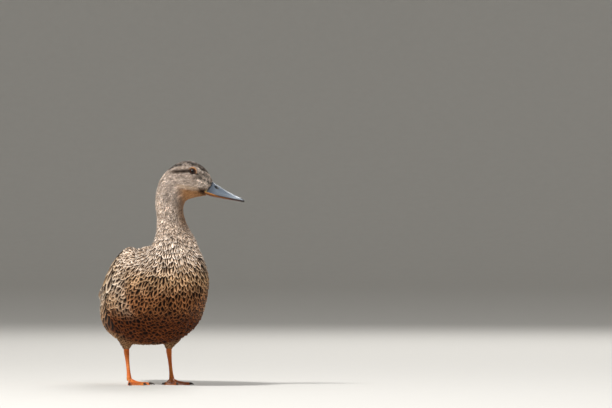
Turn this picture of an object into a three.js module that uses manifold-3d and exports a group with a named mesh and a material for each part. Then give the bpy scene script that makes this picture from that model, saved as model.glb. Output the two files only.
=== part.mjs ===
// A female mallard, life size, standing still with its head turned to its left.
// Millimetres, +Z up. The trunk points along -Y, the bird's left is +X, and the soles are at Z = 0.
import * as THREE from "three";
import { mergeVertices } from "three/addons/utils/BufferGeometryUtils.js";
import Module from "manifold-3d";

const wasm = await Module();
wasm.setup();

// ---- Driving sizes ------------------------------------------------------------------------------

const GAP = 0.3; // kept between touching pieces
const RING_POINTS = 28; // points round the trunk, neck and head
const RINGS_PER_STATION = 1.8;
const WING_EDGE = 2; // how thick the folded wing is along its edges
const HEAD_TURN = 68; // degrees, towards the bird's left
const NECK_Y = 45; // the vertical axis that the head turns about
const NECK_LEAN = -5; // how far that axis stands to the bird's right at the top of the neck

const EYE = { forward: 32.2, side: 15, height: 279.3, radius: 6 }; // side is how far out its face reaches

const LEG = { x: 29, hockY: 166, hockZ: 49, ankleY: 150, ankleZ: 9 };
const FOOT = { toeIn: 6, sole: 0, web: 1.1 };
const HIND_TOE = { reach: 11, height: 6, half: 1.9 };
const TOES = [ // degrees outwards from the foot's middle line, length to the claw, half width at the root
  { name: "inner", angle: -27, length: 37, half: 2.6 },
  { name: "middle", angle: -2, length: 49, half: 2.9 },
  { name: "outer", angle: 22, length: 47, half: 2.7 },
];
const CLAW = { length: 7.5, half: 1.4 };

const TAIL = { rootY: 258, tipY: 329, rootZ: 101, tipZ: 95, rootHalf: 20, tipHalf: 28, root: 5, tip: 1.4 };
const TAIL_SWING = 5; // its tip is this far to the bird's left

// ---- Colours ------------------------------------------------------------------------------------

const paint = (color, roughness = 0.85) => new THREE.MeshStandardMaterial({ color, roughness, metalness: 0 });
const COLOURS = {
  head: paint("#b7a58f"),
  neck: paint("#b39c80"),
  trunk: paint("#8a6544"),
  wing: paint("#6f5a49"),
  flight: paint("#4f443c"),
  tail: paint("#a89378"),
  bill: paint("#767c80", 0.45),
  billEdge: paint("#b8743a", 0.5),
  leg: paint("#d07a35", 0.6),
  claw: paint("#2a2522", 0.5),
  eye: paint("#1c120c", 0.08),
};

// ---- The body's stations ------------------------------------------------------------------------
// Each is one cross-section: where it meets the back line and the belly line in the middle plane [Y, Z],
// its half width, how far down it is widest (0 back, 1 belly), and how boxy its upper and lower halves are
// (2 is an ellipse).

const station = (name, back, belly, half, widest = 0.55, upper = 2, lower = 2.2) =>
  ({ name, back, belly, half, widest, upper, lower });

const TRUNK = [
  station("covert tips", [294, 103.5], [291, 94], 10, 0.5),
  station("tail coverts", [282, 111.5], [278, 87.5], 20, 0.5),
  station("rump end", [267, 121], [260, 79], 28, 0.52),
  station("rump", [242, 136], [234, 66], 40, 0.54),
  station("vent", [210, 154], [204, 56], 52.5, 0.58, 2, 2.3),
  station("loin", [178, 168], [172, 51.5], 62.5, 0.6, 2, 2.3),
  station("mid back", [148, 177], [142, 52.5], 67.2, 0.61, 2.05, 2.2),
  station("shoulder blades", [119, 182], [108, 58], 64.5, 0.58, 2.4, 2.1),
  station("mantle", [93, 184.5], [77, 69], 59.5, 0.54, 2.7, 2),
  station("shoulders", [74, 184.5], [49, 81], 54.5, 0.5, 2.3, 2),
  station("crop", [63, 187], [24, 93], 49.5, 0.49, 2.1, 2),
  station("breast", [58.5, 192], [6.5, 113], 45, 0.52, 1.9),
  station("upper breast", [57.5, 199], [0, 136], 38.6, 0.56, 1.8),
  station("neck root", [58, 207], [7, 162], 31.6, 0.58, 1.8, 2),
  station("lower neck", [59.5, 216], [16, 187], 26.6, 0.54, 1.9, 2),
  station("mid neck", [61.5, 227], [23, 209], 21.6, 0.5, 2, 2),
];

// The head's middle plane turns with the neck. Its stations are given as [forward of the neck's axis, Z].
const HEAD = [
  station("upper neck", [-18.6, 239], [19.2, 229], 18.6, 0.5, 2, 2),
  station("nape", [-17.2, 253], [20.6, 237], 18, 0.5, 2, 2),
  station("occiput", [-13.2, 267], [23, 241.6], 17.6, 0.52, 2, 2),
  station("hind crown", [-6, 278.5], [27.5, 243.4], 17.8, 0.56, 2, 2),
  station("ear", [5.5, 288], [32.4, 244.8], 18, 0.6, 2, 2.1),
  station("crown", [18.6, 294], [36.6, 246], 17.6, 0.6, 2, 2.2),
  station("brow", [31.5, 293.4], [41.2, 246.6], 16.2, 0.6, 2.1, 2.2),
  station("lore", [43.5, 287.8], [45.4, 247.6], 14, 0.6, 2.1, 2.2),
  station("forehead", [52.3, 278], [49, 248.6], 11.8, 0.58, 2, 2.2),
  station("bill root", [57, 268], [52, 249.4], 9.6, 0.56, 2, 2.2),
  station("inside the bill", [58.5, 263], [55.5, 251.5], 6, 0.5, 2, 2),
];

// The bill's stations: forward of the neck's axis, the top, the line where the jaws meet, the bottom, the
// half width and how boxy the section is.
const jaw = (forward, top, line, bottom, half, upper = 2) => ({ forward, top, line, bottom, half, upper });
const BILL = [
  jaw(46, 262, 253.6, 250.2, 9.4, 2.2),
  jaw(53, 268.4, 251, 247.6, 10, 2),
  jaw(59, 264.4, 249, 246, 9.8, 1.9),
  jaw(66, 260.2, 247.2, 244.7, 9.6, 1.9),
  jaw(74, 255.2, 245.6, 243.2, 9.8, 2),
  jaw(82, 250.8, 244.2, 242.1, 10.2, 2.2),
  jaw(89, 247.3, 243, 241, 10.2, 2.4),
  jaw(94, 245, 241.8, 240, 9, 2.4),
  jaw(97.4, 243, 240.9, 239.6, 6, 2.2),
  jaw(98.8, 241.8, 240.4, 239.4, 2.6, 2),
];

// The folded wing lies on the trunk. At each named station: the angles of its lower and upper edges round the
// trunk (0 straight out, 90 the back line) and its thickness.
const fold = (place, low, high, thick) => ({ place, low, high, thick });
const WING = [
  fold("shoulders", 20, 34, 2),
  fold("mantle", 13, 60, 6),
  fold("shoulder blades", 14, 72, 8.5),
  fold("mid back", 17, 76, 8.5),
  fold("loin", 21, 78, 7.5),
  fold("vent", 27, 80, 6),
  fold("rump", 38, 82, 4.5),
];
const PRIMARIES = [
  fold("loin", 13, 40, 3),
  fold("vent", 19, 50, 3.5),
  fold("rump", 26, 66, 3.5),
  fold("rump end", 38, 79, 3),
  fold("tail coverts", 58, 84, 1.8),
];

// ---- Small helpers ------------------------------------------------------------------------------

const { clamp, degToRad: rad, lerp, smoothstep: smooth } = THREE.MathUtils;
const vec = (x, y, z) => new THREE.Vector3(x, y, z);
const power = (x, n) => Math.sign(x) * Math.abs(x) ** (2 / n);
const steps = (count) => Array.from({ length: count + 1 }, (_, i) => i / count);

// A Catmull-Rom value at place t along a list of numbers.
function along(values, t) {
  const last = values.length - 1;
  const i = clamp(Math.floor(t), 0, last - 1);
  const u = t - i;
  const [a, b, c, d] = [i - 1, i, i + 1, i + 2].map((j) => values[clamp(j, 0, last)]);
  return b + 0.5 * u * (c - a + u * (2 * a - 5 * b + 4 * c - d + u * (3 * (b - c) + d - a)));
}

// A closed body through rings that all have the same number of points, capped at both ends.
function loft(rings) {
  const count = rings[0].length;
  const middle = (ring) => ring.reduce((sum, p) => sum.add(p), vec(0, 0, 0)).divideScalar(count);
  const points = [...rings.flat(), middle(rings[0]), middle(rings.at(-1))];
  const index = [];
  for (let r = 0; r + 1 < rings.length; r++)
    for (let k = 0; k < count; k++) {
      const [a, b] = [r * count + k, r * count + ((k + 1) % count)];
      index.push(a, b, a + count, b, b + count, a + count);
    }
  const top = (rings.length - 1) * count;
  for (let k = 0; k < count; k++) {
    const next = (k + 1) % count;
    index.push(points.length - 2, next, k, points.length - 1, top + k, top + next);
  }
  const shape = new THREE.BufferGeometry().setFromPoints(points);
  shape.setIndex(index);
  return solid(shape);
}

// A three.js geometry as a manifold-3d solid, turned outside out if its faces point in.
function solid(geometry) {
  const bare = geometry.clone();
  bare.deleteAttribute("normal");
  bare.deleteAttribute("uv");
  const merged = mergeVertices(bare, 1e-4);
  const vertProperties = merged.attributes.position.array;
  const triVerts = new Uint32Array(merged.index.array);
  const made = new wasm.Manifold(new wasm.Mesh({ numProp: 3, vertProperties, triVerts }));
  if (made.volume() > 0) return made;
  const flipped = triVerts.map((_, i) => triVerts[i - (i % 3) + [0, 2, 1][i % 3]]);
  return new wasm.Manifold(new wasm.Mesh({ numProp: 3, vertProperties, triVerts: flipped }));
}

const cut = (from, ...tools) => tools.reduce((left, tool) => left.subtract(tool), from);
const largest = (made) => made.decompose().reduce((a, b) => (a.volume() > b.volume() ? a : b));

const duck = new THREE.Group();

function add(name, made, material) {
  const { vertProperties, triVerts } = made.getMesh();
  const shape = new THREE.BufferGeometry();
  shape.setAttribute("position", new THREE.BufferAttribute(vertProperties, 3));
  shape.setIndex(new THREE.BufferAttribute(triVerts, 1));
  shape.computeVertexNormals();
  const mesh = new THREE.Mesh(shape, material);
  mesh.name = name;
  duck.add(mesh);
}

// ---- The body's surface -------------------------------------------------------------------------

const turned = HEAD.map((s) => ({
  ...s,
  back: [NECK_Y - s.back[0], s.back[1]],
  belly: [NECK_Y - s.belly[0], s.belly[1]],
}));
const STATIONS = [...TRUNK, ...turned];
const placeOf = (name) => STATIONS.findIndex((s) => s.name === name);
const TWIST_FROM = placeOf("upper breast");
const TWIST_TO = placeOf("occiput");
const END = STATIONS.length - 1;
const pick = (t, read) => along(STATIONS.map(read), t);

// The middle of the section at place t, its upward direction, its sizes, and how the neck turns and leans it.
function section(t) {
  const back = vec(0, pick(t, (s) => s.back[0]), pick(t, (s) => s.back[1]));
  const belly = vec(0, pick(t, (s) => s.belly[0]), pick(t, (s) => s.belly[1]));
  const widest = pick(t, (s) => s.widest);
  const depth = back.distanceTo(belly);
  return {
    middle: back.clone().lerp(belly, widest),
    up: back.clone().sub(belly).normalize(),
    above: depth * widest,
    below: depth * (1 - widest),
    half: pick(t, (s) => s.half),
    upper: pick(t, (s) => s.upper),
    lower: pick(t, (s) => s.lower),
    turn: rad(HEAD_TURN) * smooth(t, TWIST_FROM, TWIST_TO),
    lean: NECK_LEAN * smooth(t, placeOf("neck root"), placeOf("upper neck")),
  };
}

// Moves a point of the middle plane's frame to where the neck's turn and lean take it.
function turnedTo(point, turn, lean) {
  const axis = vec(0, NECK_Y, 0);
  const moved = point.clone().sub(axis).applyAxisAngle(vec(0, 0, 1), turn).add(axis);
  moved.x += lean;
  return moved;
}

const inHead = (forward, side, height) =>
  turnedTo(vec(side, NECK_Y - forward, height), rad(HEAD_TURN), NECK_LEAN);

// The body's surface at place t and angle a (0 is the bird's left, a quarter turn the back), grown outwards.
function surface(t, a, grow = 0) {
  const s = section(t);
  const [c, n] = [Math.cos(a), Math.sin(a)];
  const boxy = n > 0 ? s.upper : s.lower;
  const point = s.middle.clone().addScaledVector(s.up, ((n > 0 ? s.above : s.below) + grow) * power(n, boxy));
  point.x += (s.half + grow) * power(c, boxy);
  return turnedTo(point, s.turn, s.lean);
}

function ringPlaces(from, to) {
  const all = Array.from({ length: END * RINGS_PER_STATION }, (_, i) => i / RINGS_PER_STATION);
  return [from, ...all.filter((t) => t > from + 0.1 && t < to - 0.1), to];
}

function body(from, to, grow = 0) {
  const ring = (t) => steps(RING_POINTS).slice(1).map((u) => surface(t, u * 2 * Math.PI, grow));
  return loft(ringPlaces(from, to).map(ring));
}

// ---- Wings --------------------------------------------------------------------------------------

// A pad on the trunk's side, from its outer face round to an inner face that lies inside the trunk. Its rings
// stand at the trunk's own, so that both follow each other. A table's rows are neighbouring stations.
function pad(table, side, grow = 0) {
  const first = placeOf(table[0].place);
  const across = steps(8);
  const rings = ringPlaces(first - table.length + 1, first).reverse().map((place) => {
    const read = (key) => along(table.map((f) => f[key]), first - place);
    const margin = grow / 60;
    const [low, high] = [rad(read("low")) - margin, rad(read("high")) + margin];
    const round = (v) => Math.sqrt(Math.max(0, 1 - (2 * v - 1) ** 4)) * lerp(0.1, 1, smooth(v, 0, 0.75));
    const angle = (v) => (side > 0 ? lerp(low, high, v) : Math.PI - lerp(low, high, v));
    const depth = (v) => lerp(WING_EDGE, read("thick"), round(v)) + grow;
    const outer = across.map((v) => surface(place, angle(v), depth(v)));
    const inner = across.map((v) => surface(place, angle(1 - v), -4));
    return [...outer, ...inner];
  });
  return loft(rings);
}

// ---- Bill ---------------------------------------------------------------------------------------

// Half of the bill, above (1) or below (-1) the line where the jaws meet.
function jawHalf(side, grow = 0) {
  const last = BILL.length - 1;
  const rings = steps(12).map((u) => {
    const read = (key) => along(BILL.map((s) => s[key]), u * last);
    const line = read("line") + (side * GAP) / 2;
    const reach = Math.abs((side > 0 ? read("top") : read("bottom")) - line) + grow;
    const half = read("half") * (side > 0 ? 1 : 0.93) + grow;
    const forward = read("forward") + grow * (2 * u - 1);
    const rim = steps(10).map((v) => {
      const a = v * Math.PI;
      return [half * power(Math.cos(a), read("upper")), reach * power(Math.sin(a), read("upper"))];
    });
    const floor = -side * grow;
    const flat = [[-half, floor], [-half / 3, floor], [half / 3, floor], [half, floor]];
    const outline = grow ? [...rim, ...flat] : [...rim, flat[1], flat[2]];
    return outline.map(([x, z], k) => inHead(forward, x, line + (k < rim.length ? side * z : z)));
  });
  return loft(rings);
}

// ---- Tail ---------------------------------------------------------------------------------------

// A low wedge that fans out from under the tail coverts to a rounded end.
function tailFan(grow = 0) {
  const rings = steps(9).map((u) => {
    const half = lerp(TAIL.rootHalf, TAIL.tipHalf, Math.sin(u * 1.9)) * Math.sqrt(1 - 0.93 * u ** 7) + grow;
    const thick = lerp(TAIL.root, TAIL.tip, u) / 2 + grow;
    const [y, z] = [lerp(TAIL.rootY - grow, TAIL.tipY + grow, u), lerp(TAIL.rootZ, TAIL.tipZ, u)];
    const rim = steps(16).slice(1).map((v) => {
      const a = v * 2 * Math.PI;
      const x = half * power(Math.cos(a), 2.6);
      const arch = 2.5 * (x / TAIL.tipHalf) ** 2;
      return vec(x + TAIL_SWING * u, y, z - arch + thick * power(Math.sin(a), 2.6));
    });
    return rim;
  });
  return loft(rings);
}

// ---- Legs and feet ------------------------------------------------------------------------------

// A limb through round sections: [x, y, z, half width, half depth].
function limb(sections, points = 14, grow = 0) {
  const last = sections.length - 1;
  const at = (i, k) => along(sections.map((s) => s[k]), i);
  const rings = steps(last * 2).map((u) => {
    const i = u * last;
    return steps(points).slice(1).map((v) => {
      const a = v * 2 * Math.PI;
      const [wide, deep] = [at(i, 3) + grow, at(i, 4) + grow];
      return vec(at(i, 0) + wide * Math.cos(a), at(i, 1) + deep * Math.sin(a), at(i, 2));
    });
  });
  return loft(rings);
}

const thigh = (side, grow = 0) => limb([
  [side * (LEG.x + 3), LEG.hockY - 22, LEG.hockZ + 26, 17, 24],
  [side * (LEG.x + 2), LEG.hockY - 15, LEG.hockZ + 16, 15.5, 21],
  [side * (LEG.x + 1), LEG.hockY - 7, LEG.hockZ + 7, 11, 14.5],
  [side * LEG.x, LEG.hockY - 1.5, LEG.hockZ + 0.5, 6.4, 8],
  [side * LEG.x, LEG.hockY, LEG.hockZ - 3.5, 4.6, 5.6],
], 18, grow);

function tarsus(side, grow = 0) {
  const at = (u, wide, deep) =>
    [side * LEG.x, lerp(LEG.hockY, LEG.ankleY, u), lerp(LEG.hockZ - 2, LEG.ankleZ - 4, u), wide, deep];
  return limb([at(0, 4, 4.8), at(0.12, 3.7, 4.6), at(0.4, 2.5, 3.5), at(0.75, 2.5, 3.3), at(0.93, 3.6, 3.9),
    at(1, 3.4, 3.6)], 10, grow);
}

const heading = (side, toe) => rad(-90 + side * (toe.angle - FOOT.toeIn));

// The webbed foot: flat below, a ridge along each toe and a thin web that hangs back between the tips.
function foot(side) {
  const [first, , last] = TOES;
  const [from, to] = [first.angle - 9, last.angle + 9];
  const fan = steps(22);
  const reachAt = (angle) => {
    const web = 37 - 0.008 * (angle - 2) ** 2;
    const tip = Math.max(...TOES.map((t) => t.length * (1 - ((angle - t.angle) / 4.6) ** 2 * 0.3)));
    const edge = smooth(angle, from, first.angle - 2) * (1 - smooth(angle, last.angle + 2, to));
    return Math.max(web, tip) * lerp(0.2, 1, edge);
  };
  const ridge = (angle, r) => {
    const heights = TOES.map((t) => {
      const off = r * Math.sin(rad(angle - t.angle));
      const half = t.half * lerp(1, 0.62, clamp(r / t.length, 0, 1));
      return half * 1.55 * Math.exp(-((off / half) ** 2));
    });
    return FOOT.web + Math.max(...heights) + 4.2 * Math.exp(-((r / 8) ** 2));
  };
  const place = (angle, r, z) => {
    const a = rad(-90 + side * (angle - FOOT.toeIn));
    return vec(side * LEG.x + r * Math.cos(a), LEG.ankleY + r * Math.sin(a), z);
  };
  const radii = [0.14, 0.34, 0.56, 0.78, 0.93, 1];
  const rings = fan.map((u) => {
    const angle = lerp(from, to, u);
    const reach = reachAt(angle);
    const top = radii.map((k) => place(angle, k * reach, k === 1 ? 0.7 : ridge(angle, k * reach)));
    const sole = [1, 0.14].map((k) => place(angle, k * reach, FOOT.sole));
    return [...top, ...sole];
  });
  return loft(rings);
}

// The small hind toe leaves the back of the tarsus above the ground and touches it with its tip.
function hindToe(side, grow = 0) {
  const at = (u, half) => [
    side * (LEG.x - 1.5 - 2 * u),
    LEG.ankleY + 1 + HIND_TOE.reach * u,
    lerp(HIND_TOE.height, 2, u),
    half,
    half,
  ];
  const sections = [at(0, HIND_TOE.half), at(0.5, HIND_TOE.half), at(0.85, HIND_TOE.half * 0.8), at(1, 0.5)];
  const rings = sections.map(([x, y, z, wide, tall]) => steps(8).slice(1).map((v) => {
    const a = v * 2 * Math.PI;
    return vec(x + (wide + grow) * Math.cos(a), y, Math.max(0, z + (tall + grow) * Math.sin(a)));
  }));
  return loft(rings);
}

function claw(side, toe) {
  const a = heading(side, toe);
  const at = (r, z, half) => {
    const middle = vec(side * LEG.x + r * Math.cos(a), LEG.ankleY + r * Math.sin(a), z);
    const across = vec(-Math.sin(a), Math.cos(a), 0);
    return steps(8).slice(1).map((v) => middle.clone()
      .addScaledVector(across, half * Math.cos(v * 2 * Math.PI))
      .add(vec(0, 0, half * 1.15 * Math.sin(v * 2 * Math.PI))));
  };
  const root = toe.length + GAP;
  const middle = root + 0.4 * CLAW.length;
  const hook = root + 0.75 * CLAW.length;
  const tip = root + CLAW.length;
  return loft([
    at(root, 2, CLAW.half),
    at(middle, 2.1, CLAW.half * 0.8),
    at(hook, 1.5, CLAW.half * 0.5),
    at(tip, 0.6, 0.3),
  ]);
}

// ---- Putting the bird together ------------------------------------------------------------------

const NECK_CUT = placeOf("lower neck") - 0.5;
const HEAD_CUT = placeOf("nape") - 0.35;
const CLEARANCE = 0.014; // of a station, each side of a cut

const sides = [{ name: "left", side: 1 }, { name: "right", side: -1 }];
const eyeBall = (side, grow = 0) => {
  const ball = new THREE.SphereGeometry(EYE.radius + grow, 14, 10);
  const centre = inHead(EYE.forward, side * (EYE.side - EYE.radius), EYE.height);
  return solid(ball.translate(centre.x, centre.y, centre.z));
};

const trunkGrown = body(0, NECK_CUT, GAP);
const wings = sides.map(({ side }) => largest(cut(pad(WING, side), trunkGrown)));
const wingsGrown = sides.map(({ side }) => pad(WING, side, GAP));
const thighs = sides.map(({ side }) => largest(cut(thigh(side), trunkGrown)));

add("trunk", cut(body(0, NECK_CUT - CLEARANCE), tailFan(GAP)), COLOURS.trunk);
add("neck", body(NECK_CUT + CLEARANCE, HEAD_CUT - CLEARANCE), COLOURS.neck);
const openings = [jawHalf(1, GAP), jawHalf(-1, GAP), eyeBall(1, GAP), eyeBall(-1, GAP)];
add("head", largest(cut(body(HEAD_CUT + CLEARANCE, END), ...openings)), COLOURS.head);
add("bill_upper", jawHalf(1), COLOURS.bill);
add("bill_lower", jawHalf(-1), COLOURS.billEdge);
add("tail", tailFan(), COLOURS.tail);
sides.forEach(({ name, side }, i) => {
  add(`eye_${name}`, eyeBall(side), COLOURS.eye);
  add(`wing_${name}`, wings[i], COLOURS.wing);
  const tips = cut(pad(PRIMARIES, side), trunkGrown, wingsGrown[i], tailFan(GAP));
  add(`primaries_${name}`, largest(tips), COLOURS.flight);
  add(`thigh_${name}`, thighs[i], COLOURS.trunk);
  add(`tarsus_${name}`, cut(tarsus(side), thigh(side, GAP), trunkGrown), COLOURS.leg);
  add(`foot_${name}`, largest(cut(foot(side), tarsus(side, GAP))), COLOURS.leg);
  add(`hind_toe_${name}`, largest(cut(hindToe(side), tarsus(side, GAP), foot(side))), COLOURS.leg);
  for (const toe of TOES) add(`claw_${name}_${toe.name}`, claw(side, toe), COLOURS.claw);
});

// The origin is under the middle of the whole bird, on the ground.
const box = new THREE.Box3().setFromObject(duck);
const centre = box.getCenter(vec(0, 0, 0));
duck.position.set(-centre.x, -centre.y, -box.min.z);

export default duck;
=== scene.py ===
"""A standing female mallard: skin, plumage, bill, eyes, legs and claws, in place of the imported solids."""

import heapq
import math

import bpy
import numpy as np
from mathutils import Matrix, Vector
from mathutils.bvhtree import BVHTree
from mathutils.kdtree import KDTree


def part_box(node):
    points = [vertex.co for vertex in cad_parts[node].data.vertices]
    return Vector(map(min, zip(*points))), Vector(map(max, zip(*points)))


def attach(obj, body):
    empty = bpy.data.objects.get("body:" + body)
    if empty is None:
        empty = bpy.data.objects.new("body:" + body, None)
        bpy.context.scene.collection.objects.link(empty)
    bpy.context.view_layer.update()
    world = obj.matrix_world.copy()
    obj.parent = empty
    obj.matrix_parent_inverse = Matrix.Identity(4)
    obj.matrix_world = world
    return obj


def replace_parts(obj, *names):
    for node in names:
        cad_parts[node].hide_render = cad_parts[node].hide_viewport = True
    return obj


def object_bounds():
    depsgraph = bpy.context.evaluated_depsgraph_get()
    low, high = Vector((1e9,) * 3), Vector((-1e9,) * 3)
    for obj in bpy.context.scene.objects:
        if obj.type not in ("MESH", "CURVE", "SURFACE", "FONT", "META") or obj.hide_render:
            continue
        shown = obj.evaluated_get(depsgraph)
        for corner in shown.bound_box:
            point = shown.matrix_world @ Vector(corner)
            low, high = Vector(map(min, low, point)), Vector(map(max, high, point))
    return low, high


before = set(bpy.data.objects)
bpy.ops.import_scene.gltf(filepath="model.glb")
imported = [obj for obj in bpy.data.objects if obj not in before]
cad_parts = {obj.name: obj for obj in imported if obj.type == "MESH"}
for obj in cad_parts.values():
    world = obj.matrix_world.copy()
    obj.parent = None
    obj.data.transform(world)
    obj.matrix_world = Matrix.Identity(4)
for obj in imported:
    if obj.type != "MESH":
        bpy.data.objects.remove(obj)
CAD_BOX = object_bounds()
MM = 0.001
RNG = np.random.default_rng(11)
SIDES = {"left": 1, "right": -1}


# ---- Small helpers ------------------------------------------------------------------------------


def unit(v):
    return v / np.maximum(np.linalg.norm(v, axis=-1, keepdims=True), 1e-12)


def dot(a, b):
    return (a * b).sum(-1)


def ramp(x, low, high):
    """0 below low, 1 above high, smooth between; low may be the larger."""
    t = np.clip((np.asarray(x, float) - low) / (high - low), 0, 1)
    return t * t * (3 - 2 * t)


def hump(x, middle, reach):
    """1 at middle, falling smoothly to 0 at reach on both sides."""
    return 1 - ramp(np.abs(np.asarray(x, float) - middle), 0, reach)


def mix(a, b, t):
    t = np.asarray(t, float)[..., None]
    return np.asarray(a, float) * (1 - t) + np.asarray(b, float) * t


def shade(text):
    """An sRGB colour such as 8a6544, as linear RGB."""
    srgb = np.array([int(text[i : i + 2], 16) / 255 for i in (0, 2, 4)])
    return np.where(srgb <= 0.04045, srgb / 12.92, ((srgb + 0.055) / 1.055) ** 2.4)


def corners(node):
    low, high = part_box(node)
    return np.array(low), np.array(high)


def centre(node):
    low, high = corners(node)
    return (low + high) / 2


def top_of(node):
    """The middle of a node's top."""
    low, high = corners(node)
    return np.array([(low[0] + high[0]) / 2, (low[1] + high[1]) / 2, high[2]])


# ---- Where things are ---------------------------------------------------------------------------

UP = np.array([0.0, 0.0, 1.0])
EYE = {side: centre(f"eye_{side}") for side in SIDES}
EYE_RADIUS = np.ptp(corners("eye_left"), axis=0)[2] / 2
BROW = (EYE["left"] + EYE["right"]) / 2
LEFT = unit(EYE["left"] - EYE["right"])
FORWARD = np.cross(LEFT, UP)
NECK_AXIS = BROW - FORWARD * 32.2 * MM
MIDDLE_X = (corners("foot_left")[0][0] + corners("foot_right")[1][0]) / 2
HOCK = {side: top_of(f"tarsus_{side}") for side in SIDES}
TAIL_LOW, TAIL_HIGH = corners("tail")
TAIL_ROOT_Z = TAIL_HIGH[2] - 2.5 * MM
TAIL_TIP_Z = TAIL_LOW[2] + 1.8 * MM
TAIL_SWING = 5 * MM  # how far its tip is to the bird's left
TAIL_HALF = 27 * MM
TAIL_FEATHERS = 9  # on each side of the middle


def in_head(points):
    """Forward of the eyes, to the bird's left, and above the eyes, in millimetres."""
    off = (points - BROW) / MM
    return off @ FORWARD, off @ LEFT, off @ UP


def bill_edge(up):
    """How far forward of the eyes the feathers end, at a height above them: it slopes back to the gape."""
    gape = -26
    return 22.6 + 0.54 * (np.maximum(up, gape) + 11.5) + 0.9 * np.maximum(0, gape - up)


def middle_height(y):
    """The height of the trunk's middle, that far back, in millimetres."""
    return np.interp(y, [-100, 0, 130], [140, 130, 103])


# ---- Meshes as arrays ---------------------------------------------------------------------------


def node_arrays(name):
    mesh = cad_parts[name].data
    points = np.empty(len(mesh.vertices) * 3)
    mesh.vertices.foreach_get("co", points)
    return points.reshape(-1, 3), [tuple(p.vertices) for p in mesh.polygons]


def as_mesh(name, points, quads):
    """A smooth-shaded mesh of quads."""
    mesh = bpy.data.meshes.new(name)
    mesh.vertices.add(len(points))
    mesh.vertices.foreach_set("co", np.asarray(points, np.float32).ravel())
    mesh.loops.add(len(quads) * 4)
    mesh.loops.foreach_set("vertex_index", np.asarray(quads, np.int32).ravel())
    mesh.polygons.add(len(quads))
    mesh.polygons.foreach_set("loop_start", np.arange(len(quads), dtype=np.int32) * 4)
    mesh.polygons.foreach_set("use_smooth", np.ones(len(quads), bool))
    mesh.update(calc_edges=True)
    return mesh


def shown(name, mesh, *materials):
    piece = bpy.data.objects.new(name, mesh)
    bpy.context.scene.collection.objects.link(piece)
    for material in materials:
        mesh.materials.append(material)
    return piece


def dressed(name, mesh, materials, slot, *nodes):
    """A piece of the model that rides on the body and takes the place of those nodes."""
    piece = shown(name, mesh, *materials)
    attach(piece, "root")
    if nodes:
        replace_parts(piece, *nodes)
    return piece


def set_field(mesh, name, kind, values):
    """An attribute of a mesh's points: FLOAT, FLOAT_VECTOR or FLOAT_COLOR."""
    field = mesh.attributes.new(name, kind, "POINT")
    key = "color" if "COLOR" in kind else "value" if values.ndim == 1 else "vector"
    if "COLOR" in kind:
        values = np.concatenate([values, np.ones((len(values), 1))], 1)
    field.data.foreach_set(key, np.asarray(values, np.float32).ravel())


def set_map(mesh, uv):
    """The OFBake map, from a place for each corner of each face."""
    layer = mesh.uv_layers.new(name="OFBake")
    layer.uv.foreach_set("vector", uv.astype(np.float32).ravel())


def grid_quads(index, round_rows=False, round_columns=False):
    """The quads of one or more grids of point numbers, each closed round on itself where asked."""
    if round_rows:
        index = np.concatenate([index, index[..., :1, :]], -2)
    if round_columns:
        index = np.concatenate([index, index[..., :1]], -1)
    quads = [index[..., :-1, :-1], index[..., 1:, :-1], index[..., 1:, 1:], index[..., :-1, 1:]]
    return np.stack(quads, -1).reshape(-1, 4)


def normals_of(points, faces):
    """The normals of faces, each as long as twice the area of its first triangle."""
    corner = points[faces]
    return np.cross(corner[:, 1] - corner[:, 0], corner[:, 2] - corner[:, 0])


def turned_out(points, quads, inside):
    """The quads, turned round if they face the places inside them."""
    away = points[quads].mean(1) - inside
    return quads[:, ::-1] if dot(normals_of(points, quads), away).sum() < 0 else quads


def remeshed(parts, voxel, smoothing):
    """The union of closed parts as one even mesh: its points and its quads."""
    points, faces, start = [], [], 0
    for part_points, part_faces in parts:
        points.append(part_points)
        faces += [tuple(v + start for v in face) for face in part_faces]
        start += len(part_points)
    mesh = bpy.data.meshes.new("union")
    mesh.from_pydata(np.concatenate(points).tolist(), [], faces)
    piece = shown("union", mesh)
    remesh = piece.modifiers.new("remesh", "REMESH")
    remesh.mode = "VOXEL"
    remesh.voxel_size = voxel
    smooth = piece.modifiers.new("smooth", "SMOOTH")
    smooth.factor = 0.5
    smooth.iterations = smoothing
    evaluated = piece.evaluated_get(bpy.context.evaluated_depsgraph_get())
    mesh = bpy.data.meshes.new_from_object(evaluated)
    out = np.empty(len(mesh.vertices) * 3)
    mesh.vertices.foreach_get("co", out)
    quads = np.empty(len(mesh.polygons) * 4, np.int32)
    mesh.loops.foreach_get("vertex_index", quads)
    bpy.data.objects.remove(piece)
    bpy.data.meshes.remove(mesh)
    return out.reshape(-1, 3), quads.reshape(-1, 4)


def gathered(count, index, values):
    """The sum of the values that go to each index."""
    if values.ndim == 1:
        return np.bincount(index, values, count)
    return np.stack([np.bincount(index, values[:, k], count) for k in range(values.shape[1])], 1)


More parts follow.
